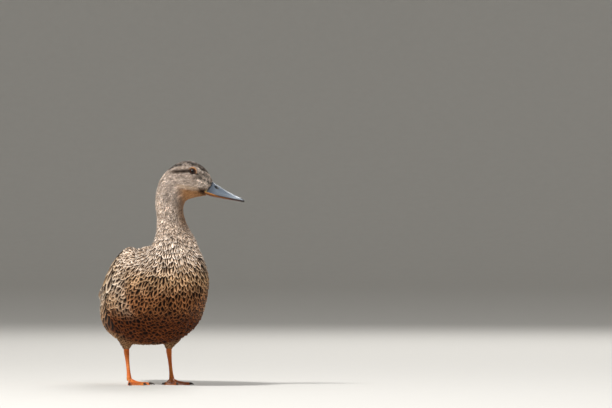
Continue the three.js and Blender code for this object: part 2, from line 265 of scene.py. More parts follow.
class Surface:
    """A closed quad mesh with smooth normals, neighbours and a search tree."""

    def __init__(self, points, quads):
        self.points, self.quads = points, quads
        self.tris = np.concatenate([quads[:, [0, 1, 2]], quads[:, [0, 2, 3]]])
        sides = np.concatenate([quads[:, [0, 1]], quads[:, [1, 2]], quads[:, [2, 3]], quads[:, [3, 0]]])
        self.edges = np.unique(np.sort(sides, axis=1), axis=0)
        self.degree = np.bincount(self.edges.ravel(), minlength=len(points)).astype(float)
        self.face_normals = normals_of(points, self.tris)
        normals = sum(gathered(len(points), self.tris[:, k], self.face_normals) for k in range(3))
        self.areas = np.linalg.norm(self.face_normals, axis=1) / 2
        self.normals = unit(self.smoothed(unit(normals), 3))
        self.tree = BVHTree.FromPolygons(points.tolist(), self.tris.tolist())

    def links(self):
        """The pairs of points that share an edge or lie across a quad."""
        diagonals = np.concatenate([self.quads[:, [0, 2]], self.quads[:, [1, 3]]])
        return np.concatenate([self.edges, diagonals])

    def around(self, values):
        """The sum of each point's neighbours' values."""
        a, b = self.edges.T
        return gathered(len(self.points), a, values[b]) + gathered(len(self.points), b, values[a])

    def smoothed(self, values, rounds):
        """Each point's value moved towards the mean of its neighbours', that many times."""
        degree = self.degree if values.ndim == 1 else self.degree[:, None]
        for _ in range(rounds):
            values = 0.3 * values + 0.7 * self.around(values) / degree
        return values

    def inset(self, depth):
        return Surface(self.points - self.normals * depth[:, None], self.quads)

    def nearest(self, points):
        """For each point, the nearest triangle and the weights of its corners there."""
        found = [self.tree.find_nearest(p) for p in points.tolist()]
        tri = np.array([f[2] for f in found])
        place = np.array([f[0][:] for f in found])
        a, b, c = (self.points[self.tris[tri, k]] for k in range(3))
        v0, v1, v2 = b - a, c - a, place - a
        d00, d01, d11, d20, d21 = dot(v0, v0), dot(v0, v1), dot(v1, v1), dot(v2, v0), dot(v2, v1)
        scale = np.maximum(d00 * d11 - d01 * d01, 1e-24)
        v = (d11 * d20 - d01 * d21) / scale
        w = (d00 * d21 - d01 * d20) / scale
        weights = np.clip(np.stack([1 - v - w, v, w], 1), 0, 1)
        return tri, weights / weights.sum(1, keepdims=True)

    def read(self, tri, weights, field):
        """A field of the points, read at places inside triangles."""
        return np.einsum("nk,nk...->n...", weights, field[self.tris[tri]])

    def gradient(self, values):
        """The direction in which values grow fastest, at each point."""
        corner = self.points[self.tris]
        double = np.maximum(dot(self.face_normals, self.face_normals)[:, None], 1e-24)
        slope = np.zeros_like(self.face_normals)
        for k in range(3):
            opposite = corner[:, (k + 2) % 3] - corner[:, (k + 1) % 3]
            slope += values[self.tris[:, k], None] * np.cross(self.face_normals, opposite) / double
        slope *= self.areas[:, None]
        return self.tangent(sum(gathered(len(self.points), self.tris[:, k], slope) for k in range(3)))

    def tangent(self, vectors):
        return unit(vectors - self.normals * dot(vectors, self.normals)[:, None])

    def scatter(self, weight, count):
        """Random places, denser where weight is high: their triangles and corner weights."""
        share = self.areas * weight[self.tris].mean(1)
        tri = RNG.choice(len(share), count, p=share / share.sum())
        u = np.sqrt(RNG.random(count))
        v = RNG.random(count)
        return tri, np.stack([1 - u, u * (1 - v), u * v], 1)


def walk_from(surface, sources):
    """The distance over the surface from the source points."""
    links = surface.links()
    lengths = np.linalg.norm(surface.points[links[:, 0]] - surface.points[links[:, 1]], axis=1)
    near = [[] for _ in surface.points]
    for (i, j), step in zip(links.tolist(), lengths.tolist()):
        near[i].append((j, step))
        near[j].append((i, step))
    distance = np.full(len(surface.points), np.inf)
    distance[sources] = 0
    heap = [(0.0, i) for i in sources.tolist()]
    while heap:
        so_far, i = heapq.heappop(heap)
        if so_far > distance[i]:
            continue
        for j, step in near[i]:
            if so_far + step < distance[j]:
                distance[j] = so_far + step
                heapq.heappush(heap, (so_far + step, j))
    return surface.smoothed(distance, 20)


def spread(surface, start, fixed, rounds):
    """The field that keeps its fixed values and is elsewhere the mean of its neighbours.

    It is found by conjugate gradients, in that many rounds.
    """
    free = ~fixed
    x = start.copy()
    residual = np.where(free, surface.around(x) - surface.degree * x, 0)
    step = residual.copy()
    size = residual @ residual
    for _ in range(rounds):
        applied = np.where(free, surface.degree * step - surface.around(step), 0)
        along = size / max(step @ applied, 1e-30)
        x += along * step
        residual -= along * applied
        size, before = residual @ residual, size
        step = residual + step * (size / max(before, 1e-30))
    return x


# ---- The body's outer form, the lie of its coat, and its skin -----------------------------------

FLESH = ["head", "neck", "trunk", "wing_left", "wing_right", "thigh_left", "thigh_right"]
QUILLS = ["primaries_left", "primaries_right"]
FILLERS = ["bill_upper", "bill_lower", "eye_left", "eye_right", "tail"]
BODY_VOXEL = 1.6 * MM


def tail_wedge():
    """The mass of coverts above and below the tail's root, thinning onto the tail."""
    y = np.linspace(84, 143, 14)
    tall = np.interp(y, [84, 102, 116, 129, 137, 143], [20, 16.5, 12, 7.6, 4.8, 2.2])
    wide = np.interp(y, [84, 116, 143], [24, 21, 20])
    middle_z = np.interp(y, [84, 116, 143], [103, 100, 97.4])
    middle_x = MIDDLE_X / MM + (y - TAIL_LOW[1] / MM) / 71 * TAIL_SWING / MM
    around = np.linspace(0, 2 * np.pi, 28, endpoint=False)
    x = middle_x[:, None] + wide[:, None] * np.sin(around)
    z = middle_z[:, None] + tall[:, None] * np.cos(around)
    points = np.stack([x, y[:, None] + 0 * x, z], -1).reshape(-1, 3) * MM
    index = np.arange(x.size).reshape(x.shape)
    faces = grid_quads(index, round_columns=True).tolist()
    return points, [tuple(f) for f in faces] + [tuple(index[0]), tuple(index[-1][::-1])]


def under_quills():
    """What fills the gap under the folded quills: themselves, nearer to the body four times over."""
    layers = []
    for side_name, sign in SIDES.items():
        points, faces = node_arrays(f"primaries_{side_name}")
        layers += [(points - np.array([sign * 2.4, 0, 1.6]) * k * MM, faces) for k in (1, 2, 3, 4)]
    return layers


STUFFING = [tail_wedge()] + under_quills()

# form is the coat's outer surface; walk is how far each of its points is from the bill, over the surface,
# in millimetres; level grows from bill to tail and hocks, and flow, the way it grows, is the lie of the coat
form = Surface(*remeshed([node_arrays(n) for n in FLESH + FILLERS + QUILLS] + STUFFING, BODY_VOXEL, 8))
forward, _, up = in_head(form.points)
bill_trees = []
for bill_node in ("bill_upper", "bill_lower"):
    points, faces = node_arrays(bill_node)
    bill_trees.append(BVHTree.FromPolygons(points.tolist(), faces))
bill_gap = np.array([min(tree.find_nearest(p)[3] for tree in bill_trees) for p in form.points.tolist()])
on_bill = (bill_gap < 1.0 * MM) & (forward > 10) & (up < 0)
walk = walk_from(form, np.flatnonzero(on_bill)) / MM
at_tail = form.points[:, 1] > form.points[:, 1].max() - 6 * MM
hock_away = np.min([np.linalg.norm(form.points - HOCK[name], axis=1) for name in SIDES], axis=0) / MM
at_hock = hock_away < 8
level = np.where(on_bill, 0, walk / walk.max())
level[at_tail] = 1
level[at_hock] = 0.93
level = spread(form, level, on_bill | at_tail | at_hock, 900)
flow = form.tangent(form.smoothed(form.gradient(level), 10))


def streaks(surface, way):
    """Random lights and darks, between -2 and 2, drawn out along a way."""
    a, b = surface.links().T
    along = unit(surface.points[b] - surface.points[a])
    pull_a = dot(along, way[a]) ** 6
    pull_b = dot(along, way[b]) ** 6
    count = len(way)
    total = gathered(count, a, pull_a) + gathered(count, b, pull_b)
    values = RNG.normal(0, 1, count)
    for _ in range(4):
        drawn = gathered(count, a, pull_a * values[b]) + gathered(count, b, pull_b * values[a])
        values = 0.35 * values + 0.65 * drawn / np.maximum(total, 1e-6)
    return (values / values.std()).clip(-2, 2)


streak = streaks(form, flow)
EYE_AXIS = {}
for side_name, sign in SIDES.items():
    outside = EYE[side_name] + LEFT * sign * 30 * MM
    tri, weights = form.nearest(outside[None])
    EYE_AXIS[side_name] = unit(LEFT * sign * 2.5 + form.read(tri, weights, form.normals)[0])


def from_eye(points, name):
    """How far places are out along an eye's axis, in metres, and away from it, in millimetres."""
    off = points - EYE[name]
    along = off @ EYE_AXIS[name]
    return along, np.linalg.norm(off - along[:, None] * EYE_AXIS[name], axis=1) / MM


def eye_ring(points):
    """How far each place is from the nearer eye's axis, in millimetres, and 99 behind the eyes."""
    out = np.full(len(points), 99.0)
    for name in SIDES:
        along, away = from_eye(points, name)
        out = np.minimum(out, np.where(along > 0, away, 99))
    return out


# The skin is the form less the depth of the coat: thin on the face, at the hocks and on the tail
eye_away = eye_ring(form.points)
body_y = form.points[:, 1] / MM
hollow = -dot(form.points - form.smoothed(form.points, 60), form.normals) / MM
hollow = form.smoothed(ramp(hollow, 0.05, 0.6), 6)
depth = np.interp(walk, [0, 5, 14, 45, 90, 140, 200], [0.35, 0.6, 1.0, 1.5, 2.4, 3.4, 4.2])
depth = depth * mix([1.0], [0.35], 1 - ramp(eye_away, 3, 12))[:, 0]
depth *= np.interp(hock_away, [6, 20, 40], [0.3, 0.55, 1])
depth *= np.interp(body_y, [100, 122], [1, 0.35])
depth = np.where(on_bill, 1.4, form.smoothed(depth, 4))
skin = form.inset(depth * MM)

# The skin dips or rises to the rim of each lid
LID_WIDE, LID_TALL = 3.75, 3.35
LID_LEVEL = math.sqrt((EYE_RADIUS / MM) ** 2 - LID_WIDE**2) + 0.35
socket = skin.points.copy()
for side_name in SIDES:
    along, away = from_eye(skin.points, side_name)
    pull = ramp(away, 7.5, 4.4) * (along > 0) * (away < 9)
    socket += EYE_AXIS[side_name] * (pull * (LID_LEVEL * MM - along))[:, None]
skin = Surface(socket, skin.quads)


# ---- Materials ----------------------------------------------------------------------------------


class Term:
    """An output of a material's nodes, from which plus, minus, times and over make more nodes."""

    def __init__(self, shader, socket):
        self.shader, self.socket = shader, socket

    def __add__(self, other):
        return self.shader.math("ADD", self, other)

    def __radd__(self, other):
        return self.shader.math("ADD", other, self)

    def __sub__(self, other):
        return self.shader.math("SUBTRACT", self, other)

    def __rsub__(self, other):
        return self.shader.math("SUBTRACT", other, self)

    def __mul__(self, other):
        return self.shader.math("MULTIPLY", self, other)

    def __rmul__(self, other):
        return self.shader.math("MULTIPLY", other, self)

    def __truediv__(self, other):
        return self.shader.math("DIVIDE", self, other)

    def __rtruediv__(self, other):
        return self.shader.math("DIVIDE", other, self)

    def __abs__(self):
        return self.shader.math("ABSOLUTE", self)


class Shader:
    """One material's nodes, written as expressions."""

    def __init__(self, name, **constants):
        self.material = bpy.data.materials.new(name)
        self.material.use_nodes = True
        self.tree = self.material.node_tree
        self.surface = self.tree.nodes["Principled BSDF"]
        for socket, value in constants.items():
            self.surface.inputs[socket.replace("_", " ").title().replace("Ior", "IOR")].default_value = value

    def put(self, value, socket):
        if isinstance(value, Term):
            self.tree.links.new(value.socket, socket)
        elif isinstance(value, (int, float)):
            socket.default_value = value
        else:
            wide = len(socket.default_value)
            socket.default_value = tuple(value)[:wide] + (1.0,) * (wide - len(value))

    def made(self, kind, inputs, output=0, **settings):
        """One output of a new node, with its settings made and its inputs filled, by number or name."""
        node = self.tree.nodes.new(kind)
        for key, value in settings.items():
            setattr(node, key, value)
        for key, value in inputs.items():
            self.put(value, node.inputs[key])
        return Term(self, node.outputs[output])

    def math(self, operation, *values, clamp=False):
        return self.made("ShaderNodeMath", dict(enumerate(values)), operation=operation, use_clamp=clamp)

    def least(self, a, b):
        return self.math("MINIMUM", a, b)

    def most(self, a, b):
        return self.math("MAXIMUM", a, b)

    def ramp(self, value, low, high):
        """0 below low, 1 above high, smooth between."""
        inputs = dict(enumerate((value, low, high, 0.0, 1.0)))
        return self.made("ShaderNodeMapRange", inputs, interpolation_type="SMOOTHSTEP")

    def mix(self, a, b, factor, blend="MIX"):
        return self.made("ShaderNodeMix", {0: factor, 6: a, 7: b}, 2, data_type="RGBA", blend_type=blend)

    def tinted(self, colour, tint):
        """A colour times another, or times a grey of that lightness."""
        tint = self.join(tint, tint, tint) if isinstance(tint, Term) else tint
        return self.mix(colour, tint, 1.0, "MULTIPLY")

    def attribute(self, name, output):
        return self.made("ShaderNodeAttribute", {}, output, attribute_name=name)

    def split(self, vector):
        first = self.made("ShaderNodeSeparateXYZ", {0: vector})
        return [Term(self, socket) for socket in first.socket.node.outputs]

    def join(self, x, y, z):
        return self.made("ShaderNodeCombineXYZ", {0: x, 1: y, 2: z})

    def place(self):
        """The position on the object, in metres, the same in every view."""
        return self.made("ShaderNodeTexCoord", {}, "Object")

    def noise(self, vector, scale, detail=3.0):
        inputs = {"Vector": vector, "Scale": scale, "Detail": detail, "Roughness": 0.55}
        return self.made("ShaderNodeTexNoise", inputs, "Fac")

    def cells(self, vector, scale):
        """The distance to the nearest edge between irregular cells."""
        inputs = {"Vector": vector, "Scale": scale}
        return self.made("ShaderNodeTexVoronoi", inputs, "Distance", feature="DISTANCE_TO_EDGE")

    def finish(self, colour, roughness, height, distance):
        """The material, with its colour, its roughness and a bump of that height."""
        self.put(colour, self.surface.inputs["Base Color"])
        self.put(roughness, self.surface.inputs["Roughness"])
        inputs = {"Strength": 1.0, "Distance": distance, "Height": height}
        self.put(self.made("ShaderNodeBump", inputs), self.surface.inputs["Normal"])
        return self.material


BARB_SLANT = 0.8  # how much further along the vane a barb is for each millimetre out from the shaft
BARB_DENSE, BARB_LONG = 3.6, 0.35  # the grain of the barbs, across and along them, per millimetre


def barb_grain(s, along_mm, out_mm, seed):
    """Fine streaks that leave the shaft slantwise."""
    row = along_mm - out_mm * BARB_SLANT
    return s.noise(s.join(row * BARB_DENSE, out_mm * BARB_LONG, seed), 1.0, 2.0)


def feather_material():
    """A vane with a dark centre, a pale rim, an inner pale mark, a shaft and barbs that leave it slantwise,
    and painted shade towards its root.

    Attributes of the mesh: vane = across, along, number; span = half width and length in mm, shaft;
    marks = half width of the dark centre, how far it reaches to the tip, strength of the inner mark.
    """
    s = Shader("feather", sheen_weight=0.02, sheen_roughness=0.5, specular_ior_level=0.06)
    across, along, number = s.split(s.attribute("vane", "Vector"))
    half, length, shaft = s.split(s.attribute("span", "Vector"))
    core_wide, core_long, inner = s.split(s.attribute("marks", "Vector"))
    rim, dark = s.attribute("rim", "Color"), s.attribute("core", "Color")
    out_mm = abs(across) * half
    along_mm = along * length
    seed = number * 91.7
    barbs = barb_grain(s, along_mm, out_mm, seed + s.math("SIGN", across) * 3.0)
    blotch = s.noise(s.join(across * half, along_mm, seed), 0.55)
    small = s.least(2.4 / half, 1.0)
    # The dark centre's edge is where ring is about 1; it wanders with the barbs
    tall = s.most(along - 0.55, 0.0) / s.most(core_long * 0.45, 0.001)
    wide = abs(across) / s.most(core_wide, 0.001)
    wander = (barbs - 0.5) * 0.5 + (blotch - 0.5) * 0.7
    ring = s.math("SQRT", tall * tall + wide * wide) + wander * s.least(3.0 / half, 1.0)
    core = 1.0 - s.ramp(ring, 0.84, 1.12)
    band = s.ramp(ring, 0.42, 0.5) * (1.0 - s.ramp(ring, 0.56, 0.65)) * inner
    # Small feathers are buff at their root and brown on one side
    brown = s.tinted(s.mix(dark, rim, 0.36), (1.0, 0.84, 0.68))
    buff = s.tinted(rim, (0.92, 0.77, 0.62))
    tip = s.math("ADD", s.ramp(along, 0.66, 0.92) * 0.8, s.ramp(blotch, 0.4, 0.6) * 0.45, clamp=True)
    lean = across * (number * 2.0 - 1.0)
    pale = s.mix(rim, buff, (1.0 - tip) * small)
    pale = s.mix(pale, brown, s.ramp(lean, 0.05, 0.55) * (small * 0.8))
    colour = s.mix(pale, brown, core)
    colour = s.mix(colour, dark, 1.0 - s.ramp(ring, 0.42, 0.78))
    colour = s.mix(colour, rim, band)
    quill = (1.0 - s.ramp(out_mm, 0.06, 0.26)) * (shaft * 0.7)
    colour = s.mix(colour, s.mix(dark, shade("1a110b"), 0.5), quill)
    # Painted shade: the vane darkens towards its root, where the feathers over it would shade it, small
    # feathers most
    root_painted_shade = (1.0 - s.ramp(along, 0.2, 0.65)) * (small * 0.5)
    grain_and_root_shade = (0.68 + (barbs * 0.44 + blotch * 0.26)) * (1.0 - root_painted_shade)
    relief = barbs * 0.6 + quill * 0.6
    return s.finish(s.tinted(colour, grain_and_root_shade), 0.5 + barbs * 0.3, relief, 0.25 * MM)


def speculum_material():
    """A secondary: blue above, then a black band and a white tip."""
    s = Shader("speculum", specular_ior_level=0.5, coat_weight=0.25, coat_roughness=0.35)
    across, along, number = s.split(s.attribute("vane", "Vector"))
    half, length, _ = s.split(s.attribute("span", "Vector"))
    out_mm = abs(across) * half
    along_mm = along * length
    barbs = barb_grain(s, along_mm, out_mm, number)
    reach = along_mm + (barbs - 0.5) * 0.8 + (out_mm * out_mm) * 0.05
    from_tip = length - reach
    blue = s.mix(shade("1a2c80"), shade("302474"), s.noise(s.join(across, along, number), 3.0))
    colour = s.mix(blue, shade("0b0b10"), 1.0 - s.ramp(from_tip, 9.4, 10.6))
    colour = s.mix(colour, shade("e8e2d6"), 1.0 - s.ramp(from_tip, 4.6, 5.4))
    return s.finish(s.tinted(colour, 0.75 + barbs * 0.5), 0.32 + barbs * 0.2, barbs, 0.2 * MM)


def skin_material():
    """The down and skin under the coat, with the coat's own markings."""
    s = Shader("skin", sheen_weight=0.2, specular_ior_level=0.2)
    down = s.noise(s.place(), 900.0, 4.0)
    patch = s.ramp(s.noise(s.place(), 160.0), 0.42, 0.62)
    colour = s.mix(s.attribute("core", "Color"), s.attribute("rim", "Color"), patch)
    return s.finish(s.tinted(colour, 0.55 + down * 0.5), 0.6 + down * 0.3, down, 0.4 * MM)


def leg_material():
    """Orange scaled skin: broad scutes down the shin and toes, small scales and creases on the webs."""
    s = Shader("leg_skin", specular_ior_level=0.45, subsurface_weight=0.08, subsurface_scale=0.002)
    place = s.place()
    way, plated, _ = s.split(s.attribute("scute", "Vector"))
    groove = abs(s.math("FRACT", way / 2.3) - 0.5)
    scutes = 1.0 - s.ramp(groove, 0.36, 0.48) * plated
    plates = s.most(s.cells(place, 520.0), plated * 0.2)
    fine = s.cells(place, 1300.0)
    blotch = s.noise(place, 90.0, 4.0)
    grain = s.noise(place, 2200.0)
    edge = 1.0 - s.ramp(plates, 0.0, 0.12) * scutes
    colour = s.mix(shade("d9691c"), shade("e98a36"), s.ramp(blotch, 0.35, 0.65))
    colour = s.mix(colour, shade("8c4a22"), s.ramp(blotch, 0.55, 0.8) * 0.5)
    colour = s.mix(colour, shade("9a4a1c"), edge * 0.55)
    colour = s.mix(colour, shade("7a4630"), s.attribute("web", "Fac") * 0.45)
    relief = s.ramp(plates, 0.0, 0.16) * scutes + s.ramp(fine, 0.0, 0.15) * 0.3 + grain * 0.12
    return s.finish(colour, 0.38 + blotch * 0.25, relief, 0.25 * MM)


def bill_material():
    """Horn, painted by the mesh's own colours, with fine pores and streaks that run to the tip."""
    s = Shader("bill_horn", specular_ior_level=0.5, coat_weight=0.12, coat_roughness=0.4)
    along, aside, up = s.split(s.attribute("bill_place", "Vector"))
    grain = s.noise(s.join(along * 0.18, aside * 1.3, up * 1.3), 1.0, 4.0)
    pores = s.noise(s.place(), 2600.0)
    cloud = s.noise(s.place(), 220.0, 4.0)
    colour = s.tinted(s.attribute("paint", "Color"), 0.66 + (grain * 0.34 + cloud * 0.34))
    return s.finish(colour, 0.36 + cloud * 0.25, pores * 0.35 + grain * 0.65, 0.12 * MM)


def claw_material():
    s = Shader("claw_horn", specular_ior_level=0.5)
    grain = s.noise(s.place(), 1800.0, 4.0)
    colour = s.mix(shade("1b1512"), shade("4d3a2c"), s.ramp(grain, 0.35, 0.75))
    return s.finish(colour, 0.3 + grain * 0.25, grain, 0.1 * MM)


def eye_material():
    """Pupil, brown iris with fine spokes, and the dark rim of the white, under a wet clear coat."""
    s = Shader("eye_wet", roughness=0.08, coat_weight=0.3, coat_roughness=0.02, specular_ior_level=0.05)
    out, turn, _ = s.split(s.attribute("iris", "Vector"))
    spokes = s.noise(s.join(turn * 14.0, out * 1.2, 0.0), 1.0, 4.0)
    iris = s.mix(shade("1c0c05"), shade("552a12"), s.ramp(spokes, 0.35, 0.7))
    iris = s.mix(iris, shade("1c0c06"), s.ramp(out, 2.9, 3.6))
    colour = s.mix(shade("020202"), iris, s.ramp(out + spokes * 0.12, 2.1, 2.25))
    colour = s.mix(colour, shade("14100e"), s.ramp(out, 3.7, 3.9))
    return s.finish(colour, 0.05 + spokes * 0.05, spokes, 0.02 * MM)


def floor_material():
    s = Shader("floor", specular_ior_level=0.3)
    grain = s.noise(s.place(), 40.0, 4.0)
    colour = s.mix(shade("d3d0ca"), shade("d9d6d0"), grain)
    return s.finish(colour, 0.7, grain, 0.1 * MM)


# ---- Markings: the colours of the coat and of the skin under it ----------------------------------


class Markings:
    """The rim and core colours, and the form of the centre, blended from region to region."""

    def __init__(self, count):
        self.rim = np.tile(shade("cdb08a"), (count, 1))
        self.core = np.tile(shade("34261d"), (count, 1))
        self.form = np.tile([0.5, 0.6, 0.0], (count, 1))
        self.wild = np.zeros(count)

    def blend(self, weight, rim, core, wide, long, inner=0.0, wild=0.0):
        """Towards this colouring by the weight: wide and long are the dark centre's share of the vane.

        The vanes differ by wild, from place to place, in how light they are.
        """
        self.wild = mix(self.wild[:, None], np.full((1, 1), wild), weight)[:, 0]
        self.rim = mix(self.rim, shade(rim), weight)
        self.core = mix(self.core, shade(core), weight)
        self.form = mix(self.form, [wide, long, inner], weight)


def marked(points, normals, far):
    """The markings at places on the body; far is their walk from the bill in millimetres."""
    m = Markings(len(points))
    f, _, u = in_head(points)
    _, y, z = (points / MM).T
    top = ramp(normals[:, 2], 0.1, 0.75)
    under = ramp(-normals[:, 2], 0.15, 0.8)
    front = ramp(y, -55, -100)
    rear = ramp(y, 60, 110)
    # Breast and belly: cream rims above, golden lower down, rufous under; the dark low rows are partly the
    # bird's own colour and partly painted shade of the underside
    m.blend(front, "fdf1e6", "3b2c24", 0.5, 1.0)
    m.blend(front * ramp(z, 176, 140), "d6b48f", "1a0e08", 0.6, 0.92)
    m.blend(front * ramp(z, 146, 110), "9e6b45", "120703", 0.66, 0.86)
    flank = ramp(z, 160, 130) * (1 - front) * (1 - under * ramp(y, -60, 0))
    m.blend(flank, "eadac8", "27170f", 0.66, 0.84, 0.3)
    m.blend(flank * ramp(z, 136, 112), "c4a586", "23140c", 0.7, 0.86, 0.3)
    m.blend(flank * ramp(z, 116, 82) * ramp(y, 40, -20), "a8774f", "190c06", 0.7, 0.8, 0.2)
    m.blend(ramp(y, 20, -40) * ramp(z, 108, 84), "6e3a18", "110602", 0.7, 0.8)
    m.blend(under * (1 - rear) * ramp(y, -40, 20), "a17a50", "46301f", 0.5, 0.7)
    # Mantle, back, rump, under the tail
    mantle = top * ramp(y, -100, -60) * (1 - rear)
    m.blend(mantle, "c4a680", "2c1d14", 0.74, 0.8, 0.4)
    shoulder = ramp(y, -20, -75) * ramp(z, 138, 164) * ramp(far, 112, 140)
    m.blend(shoulder, "ecdccc", "38281f", 0.6, 0.82)
    m.blend(rear * ramp(z, 110, 125), "b08f66", "2a1c14", 0.76, 0.78, 0.35)
    m.blend(rear * ramp(z, 112, 98), "d8bd95", "5d4330", 0.36, 0.7)
    # Neck: warm and cream at its foot, greyer and streaked above
    m.blend(ramp(far, 122, 98), "fdf1e6", "54443b", 0.44, 1.02)
    m.blend(ramp(far, 98, 80), "f2e3d6", "63534a", 0.42, 1.0)
    m.blend(ramp(far, 72, 58), "d6cac1", "463a33", 0.46, 0.92)
    nape = ramp(f, -24, -44) * ramp(far, 130, 60)
    m.blend(nape * 0.6, "e8dcd3", "64564c", 0.42, 0.92)
    # Head
    head = ramp(far, 80, 50) * ramp(u, -48, -34)
    m.blend(head, "d2c7c0", "473c36", 0.45, 0.92, wild=0.1)
    throat = ramp(u + 0.2 * np.minimum(f, 0), -21, -27) * ramp(far, 75, 45) * ramp(f, -24, -8)
    m.blend(throat, "c79c72", "7c5536", 0.36, 0.85)
    jaw = hump(u + 0.2 * np.minimum(f, 0), -21.5, 3.2) * ramp(f, 9, 4) * ramp(f, -24, -14)
    m.blend(jaw * 0.8, "dac8b4", "8f735c", 0.3, 0.85)
    back = np.minimum(f + 4, 0)
    ridge = u + 0.62 * np.maximum(f - 3, 0) + 0.10 * back + 0.012 * back**2
    brow = hump(ridge, 5.4, 3.8) * ramp(far, 70, 54) * ramp(f, 12, 4)
    m.blend(brow * 0.9, "cfc4bc", "5f534b", 0.44, 0.9)
    crown = ramp(ridge, 6.2, 8.4) * ramp(far, 92, 66)
    m.blend(crown, "bfb7b3", "120d0b", 0.72, 0.9, wild=1.4)
    stripe_mid = np.where(f < 0, 1.0 + 0.06 * f, -0.5 * f)
    stripe = hump(u - stripe_mid, 0, 3.4) * ramp(f, -31, -20) * ramp(f, 17, 9)
    m.blend(stripe, "55483f", "1a120e", 1.1, 0.95)
    lores = ramp(f, 3, 9) * ramp(ridge, 9, 6) * ramp(u, -24, -14)
    m.blend(lores * 0.9, "e4dcd7", "1a1410", 0.56, 0.9, wild=0.9)
    gape = hump(np.hypot((f - 12.5) * 0.7, u + 25.5), 0, 6)
    m.blend(gape, "4a392f", "1a120f", 0.95, 0.9)
    m.blend(ramp(eye_ring(points), 6.4, 4.8) * ramp(u + 0.6 * f, -2, 2), "cf9a6a", "8f6440", 0.3, 0.8)
    return m


# ---- Feathers -----------------------------------------------------------------------------------


def clouds(points, size):
    """A smooth random field with lumps of about this size in millimetres, mostly between -1 and 1."""
    ways = unit(RNG.normal(0, 1, (7, 3))) * (2 * np.pi / size) * RNG.uniform(0.7, 1.4, (7, 1))
    return np.sin(points / MM @ ways.T + RNG.uniform(0, 2 * np.pi, 7)).sum(1) / 3.5


def vane_outline(t, point):
    """The half width of a vane along its length: narrow at the root, round or pointed at the tip."""
    rise = 0.42 + 0.58 * ramp(t, 0, 0.5)
    beyond = np.clip((t - 0.58) / 0.42, 0, 1)
    return rise * np.maximum(1 - beyond ** (2.4 - point), 0.05) ** (0.5 + 0.25 * point)


def lay(surface, roots, headings, length, half, low, high, rows, cols, point=0.0, bend=0.0, cup=0.1):
    """Vanes laid along the surface from their roots: points (n, rows + 1, cols + 1, 3) and vane places.

    Lengths are in millimetres. Each vane rises from low to high above the surface, bends sideways by
    bend radians over its length, and its rims lie lower than its middle by cup of its half width.
    """
    count = len(roots)
    of_each = (length, half, low, high, point, bend)
    length, half, low, high, point, bend = (np.broadcast_to(v, count) for v in of_each)
    share = np.linspace(0, 1, rows + 1)
    share = share * (1.35 - 0.35 * share)
    tri, weights = surface.nearest(roots)
    here = surface.read(tri, weights, surface.points)
    normal = unit(surface.read(tri, weights, surface.normals))
    heading = unit(headings - normal * dot(headings, normal)[:, None])
    centres, normals, ways = [here], [normal], [heading]
    for k in range(rows):
        aside = np.cross(normal, heading)
        step = (share[k + 1] - share[k]) * length * MM
        turned = unit(heading + aside * (bend * (share[k + 1] - share[k]))[:, None])
        tri, weights = surface.nearest(here + turned * step[:, None])
        here = surface.read(tri, weights, surface.points)
        normal = unit(surface.read(tri, weights, surface.normals))
        heading = unit(turned - normal * dot(turned, normal)[:, None])
        centres.append(here)
        normals.append(normal)
        ways.append(heading)
    centres, normals, ways = (np.stack(v, 1) for v in (centres, normals, ways))
    asides = np.cross(normals, ways)
    across = np.linspace(-1, 1, cols + 1)
    outline = np.stack([vane_outline(t, point) for t in share], 1)
    reach = outline[:, :, None] * across * half[:, None, None]
    flat = centres[:, :, None] + asides[:, :, None] * reach[..., None] * MM
    tri, weights = surface.nearest(flat.reshape(-1, 3))
    flat = surface.read(tri, weights, surface.points).reshape(flat.shape)
    over = unit(surface.read(tri, weights, surface.normals)).reshape(flat.shape)
    rise = low[:, None] + (high - low)[:, None] * share
    droop = across**2 * outline[:, :, None] * half[:, None, None]
    rise = rise[:, :, None] - cup * droop * ramp(share, 0, 0.4)[:, None]
    ragged = RNG.normal(0, 1, (count, 1, cols + 1)) * ramp(share, 0.6, 1)[:, None]
    ragged *= np.minimum(0.035 * length, 0.22)[:, None, None]
    points = flat + over * (np.maximum(rise, 0.05) * MM)[..., None]
    points += ways[:, :, None] * (ragged * MM)[..., None]
    vane = np.empty(points.shape)
    vane[..., 0] = outline[:, :, None] * across
    vane[..., 1] = share[:, None]
    vane[..., 2] = RNG.random(count)[:, None, None]
    return points, vane


def spread_patches(mesh, quads, place, vane):
    """The OFBake map: each vane is a small patch at its root's place on the unwrap."""
    count = len(place)
    low, high = place.min(0), place.max(0)
    place = 0.02 + 0.96 * (place - low) / np.maximum(high - low, 1e-9)
    tree = KDTree(count)
    for i, (u, v) in enumerate(place.tolist()):
        tree.insert((u, v, 0), i)
    tree.balance()
    room = np.array([tree.find_n((u, v, 0), 2)[-1][2] if count > 1 else 0.01 for u, v in place.tolist()])
    size = np.clip(room * 0.68, 0.003, 0.03)
    local = np.stack([vane[..., 0] * 0.5, vane[..., 1] - 0.5], -1) * size[:, None, None, None]
    uv = (place[:, None, None] + local).reshape(-1, 2)
    set_map(mesh, uv[quads.ravel()])


def coat(name, slot, points, vane, marks, length, half, shaft, place, material):
    """One piece of plumage from laid vanes and one set of markings per vane."""
    count, rows, columns, _ = points.shape
    each = rows * columns
    quads = grid_quads(np.arange(count * each).reshape(count, rows, columns))
    mesh = as_mesh(name, points.reshape(-1, 3).clip(*CAD_BOX), quads)
    span = np.stack([np.broadcast_to(v, count) for v in (half, length, shaft)], 1)
    set_field(mesh, "vane", "FLOAT_VECTOR", vane.reshape(-1, 3))
    set_field(mesh, "span", "FLOAT_VECTOR", np.repeat(span, each, 0))
    set_field(mesh, "rim", "FLOAT_COLOR", np.repeat(marks.rim, each, 0))
    set_field(mesh, "core", "FLOAT_COLOR", np.repeat(marks.core, each, 0))
    set_field(mesh, "marks", "FLOAT_VECTOR", np.repeat(marks.form, each, 0))
    spread_patches(mesh, quads, place, vane)
    return dressed(name, mesh, [material], slot)


NECK_FROM = 200  # the height at which the unwrap passes from the trunk to the neck, in millimetres


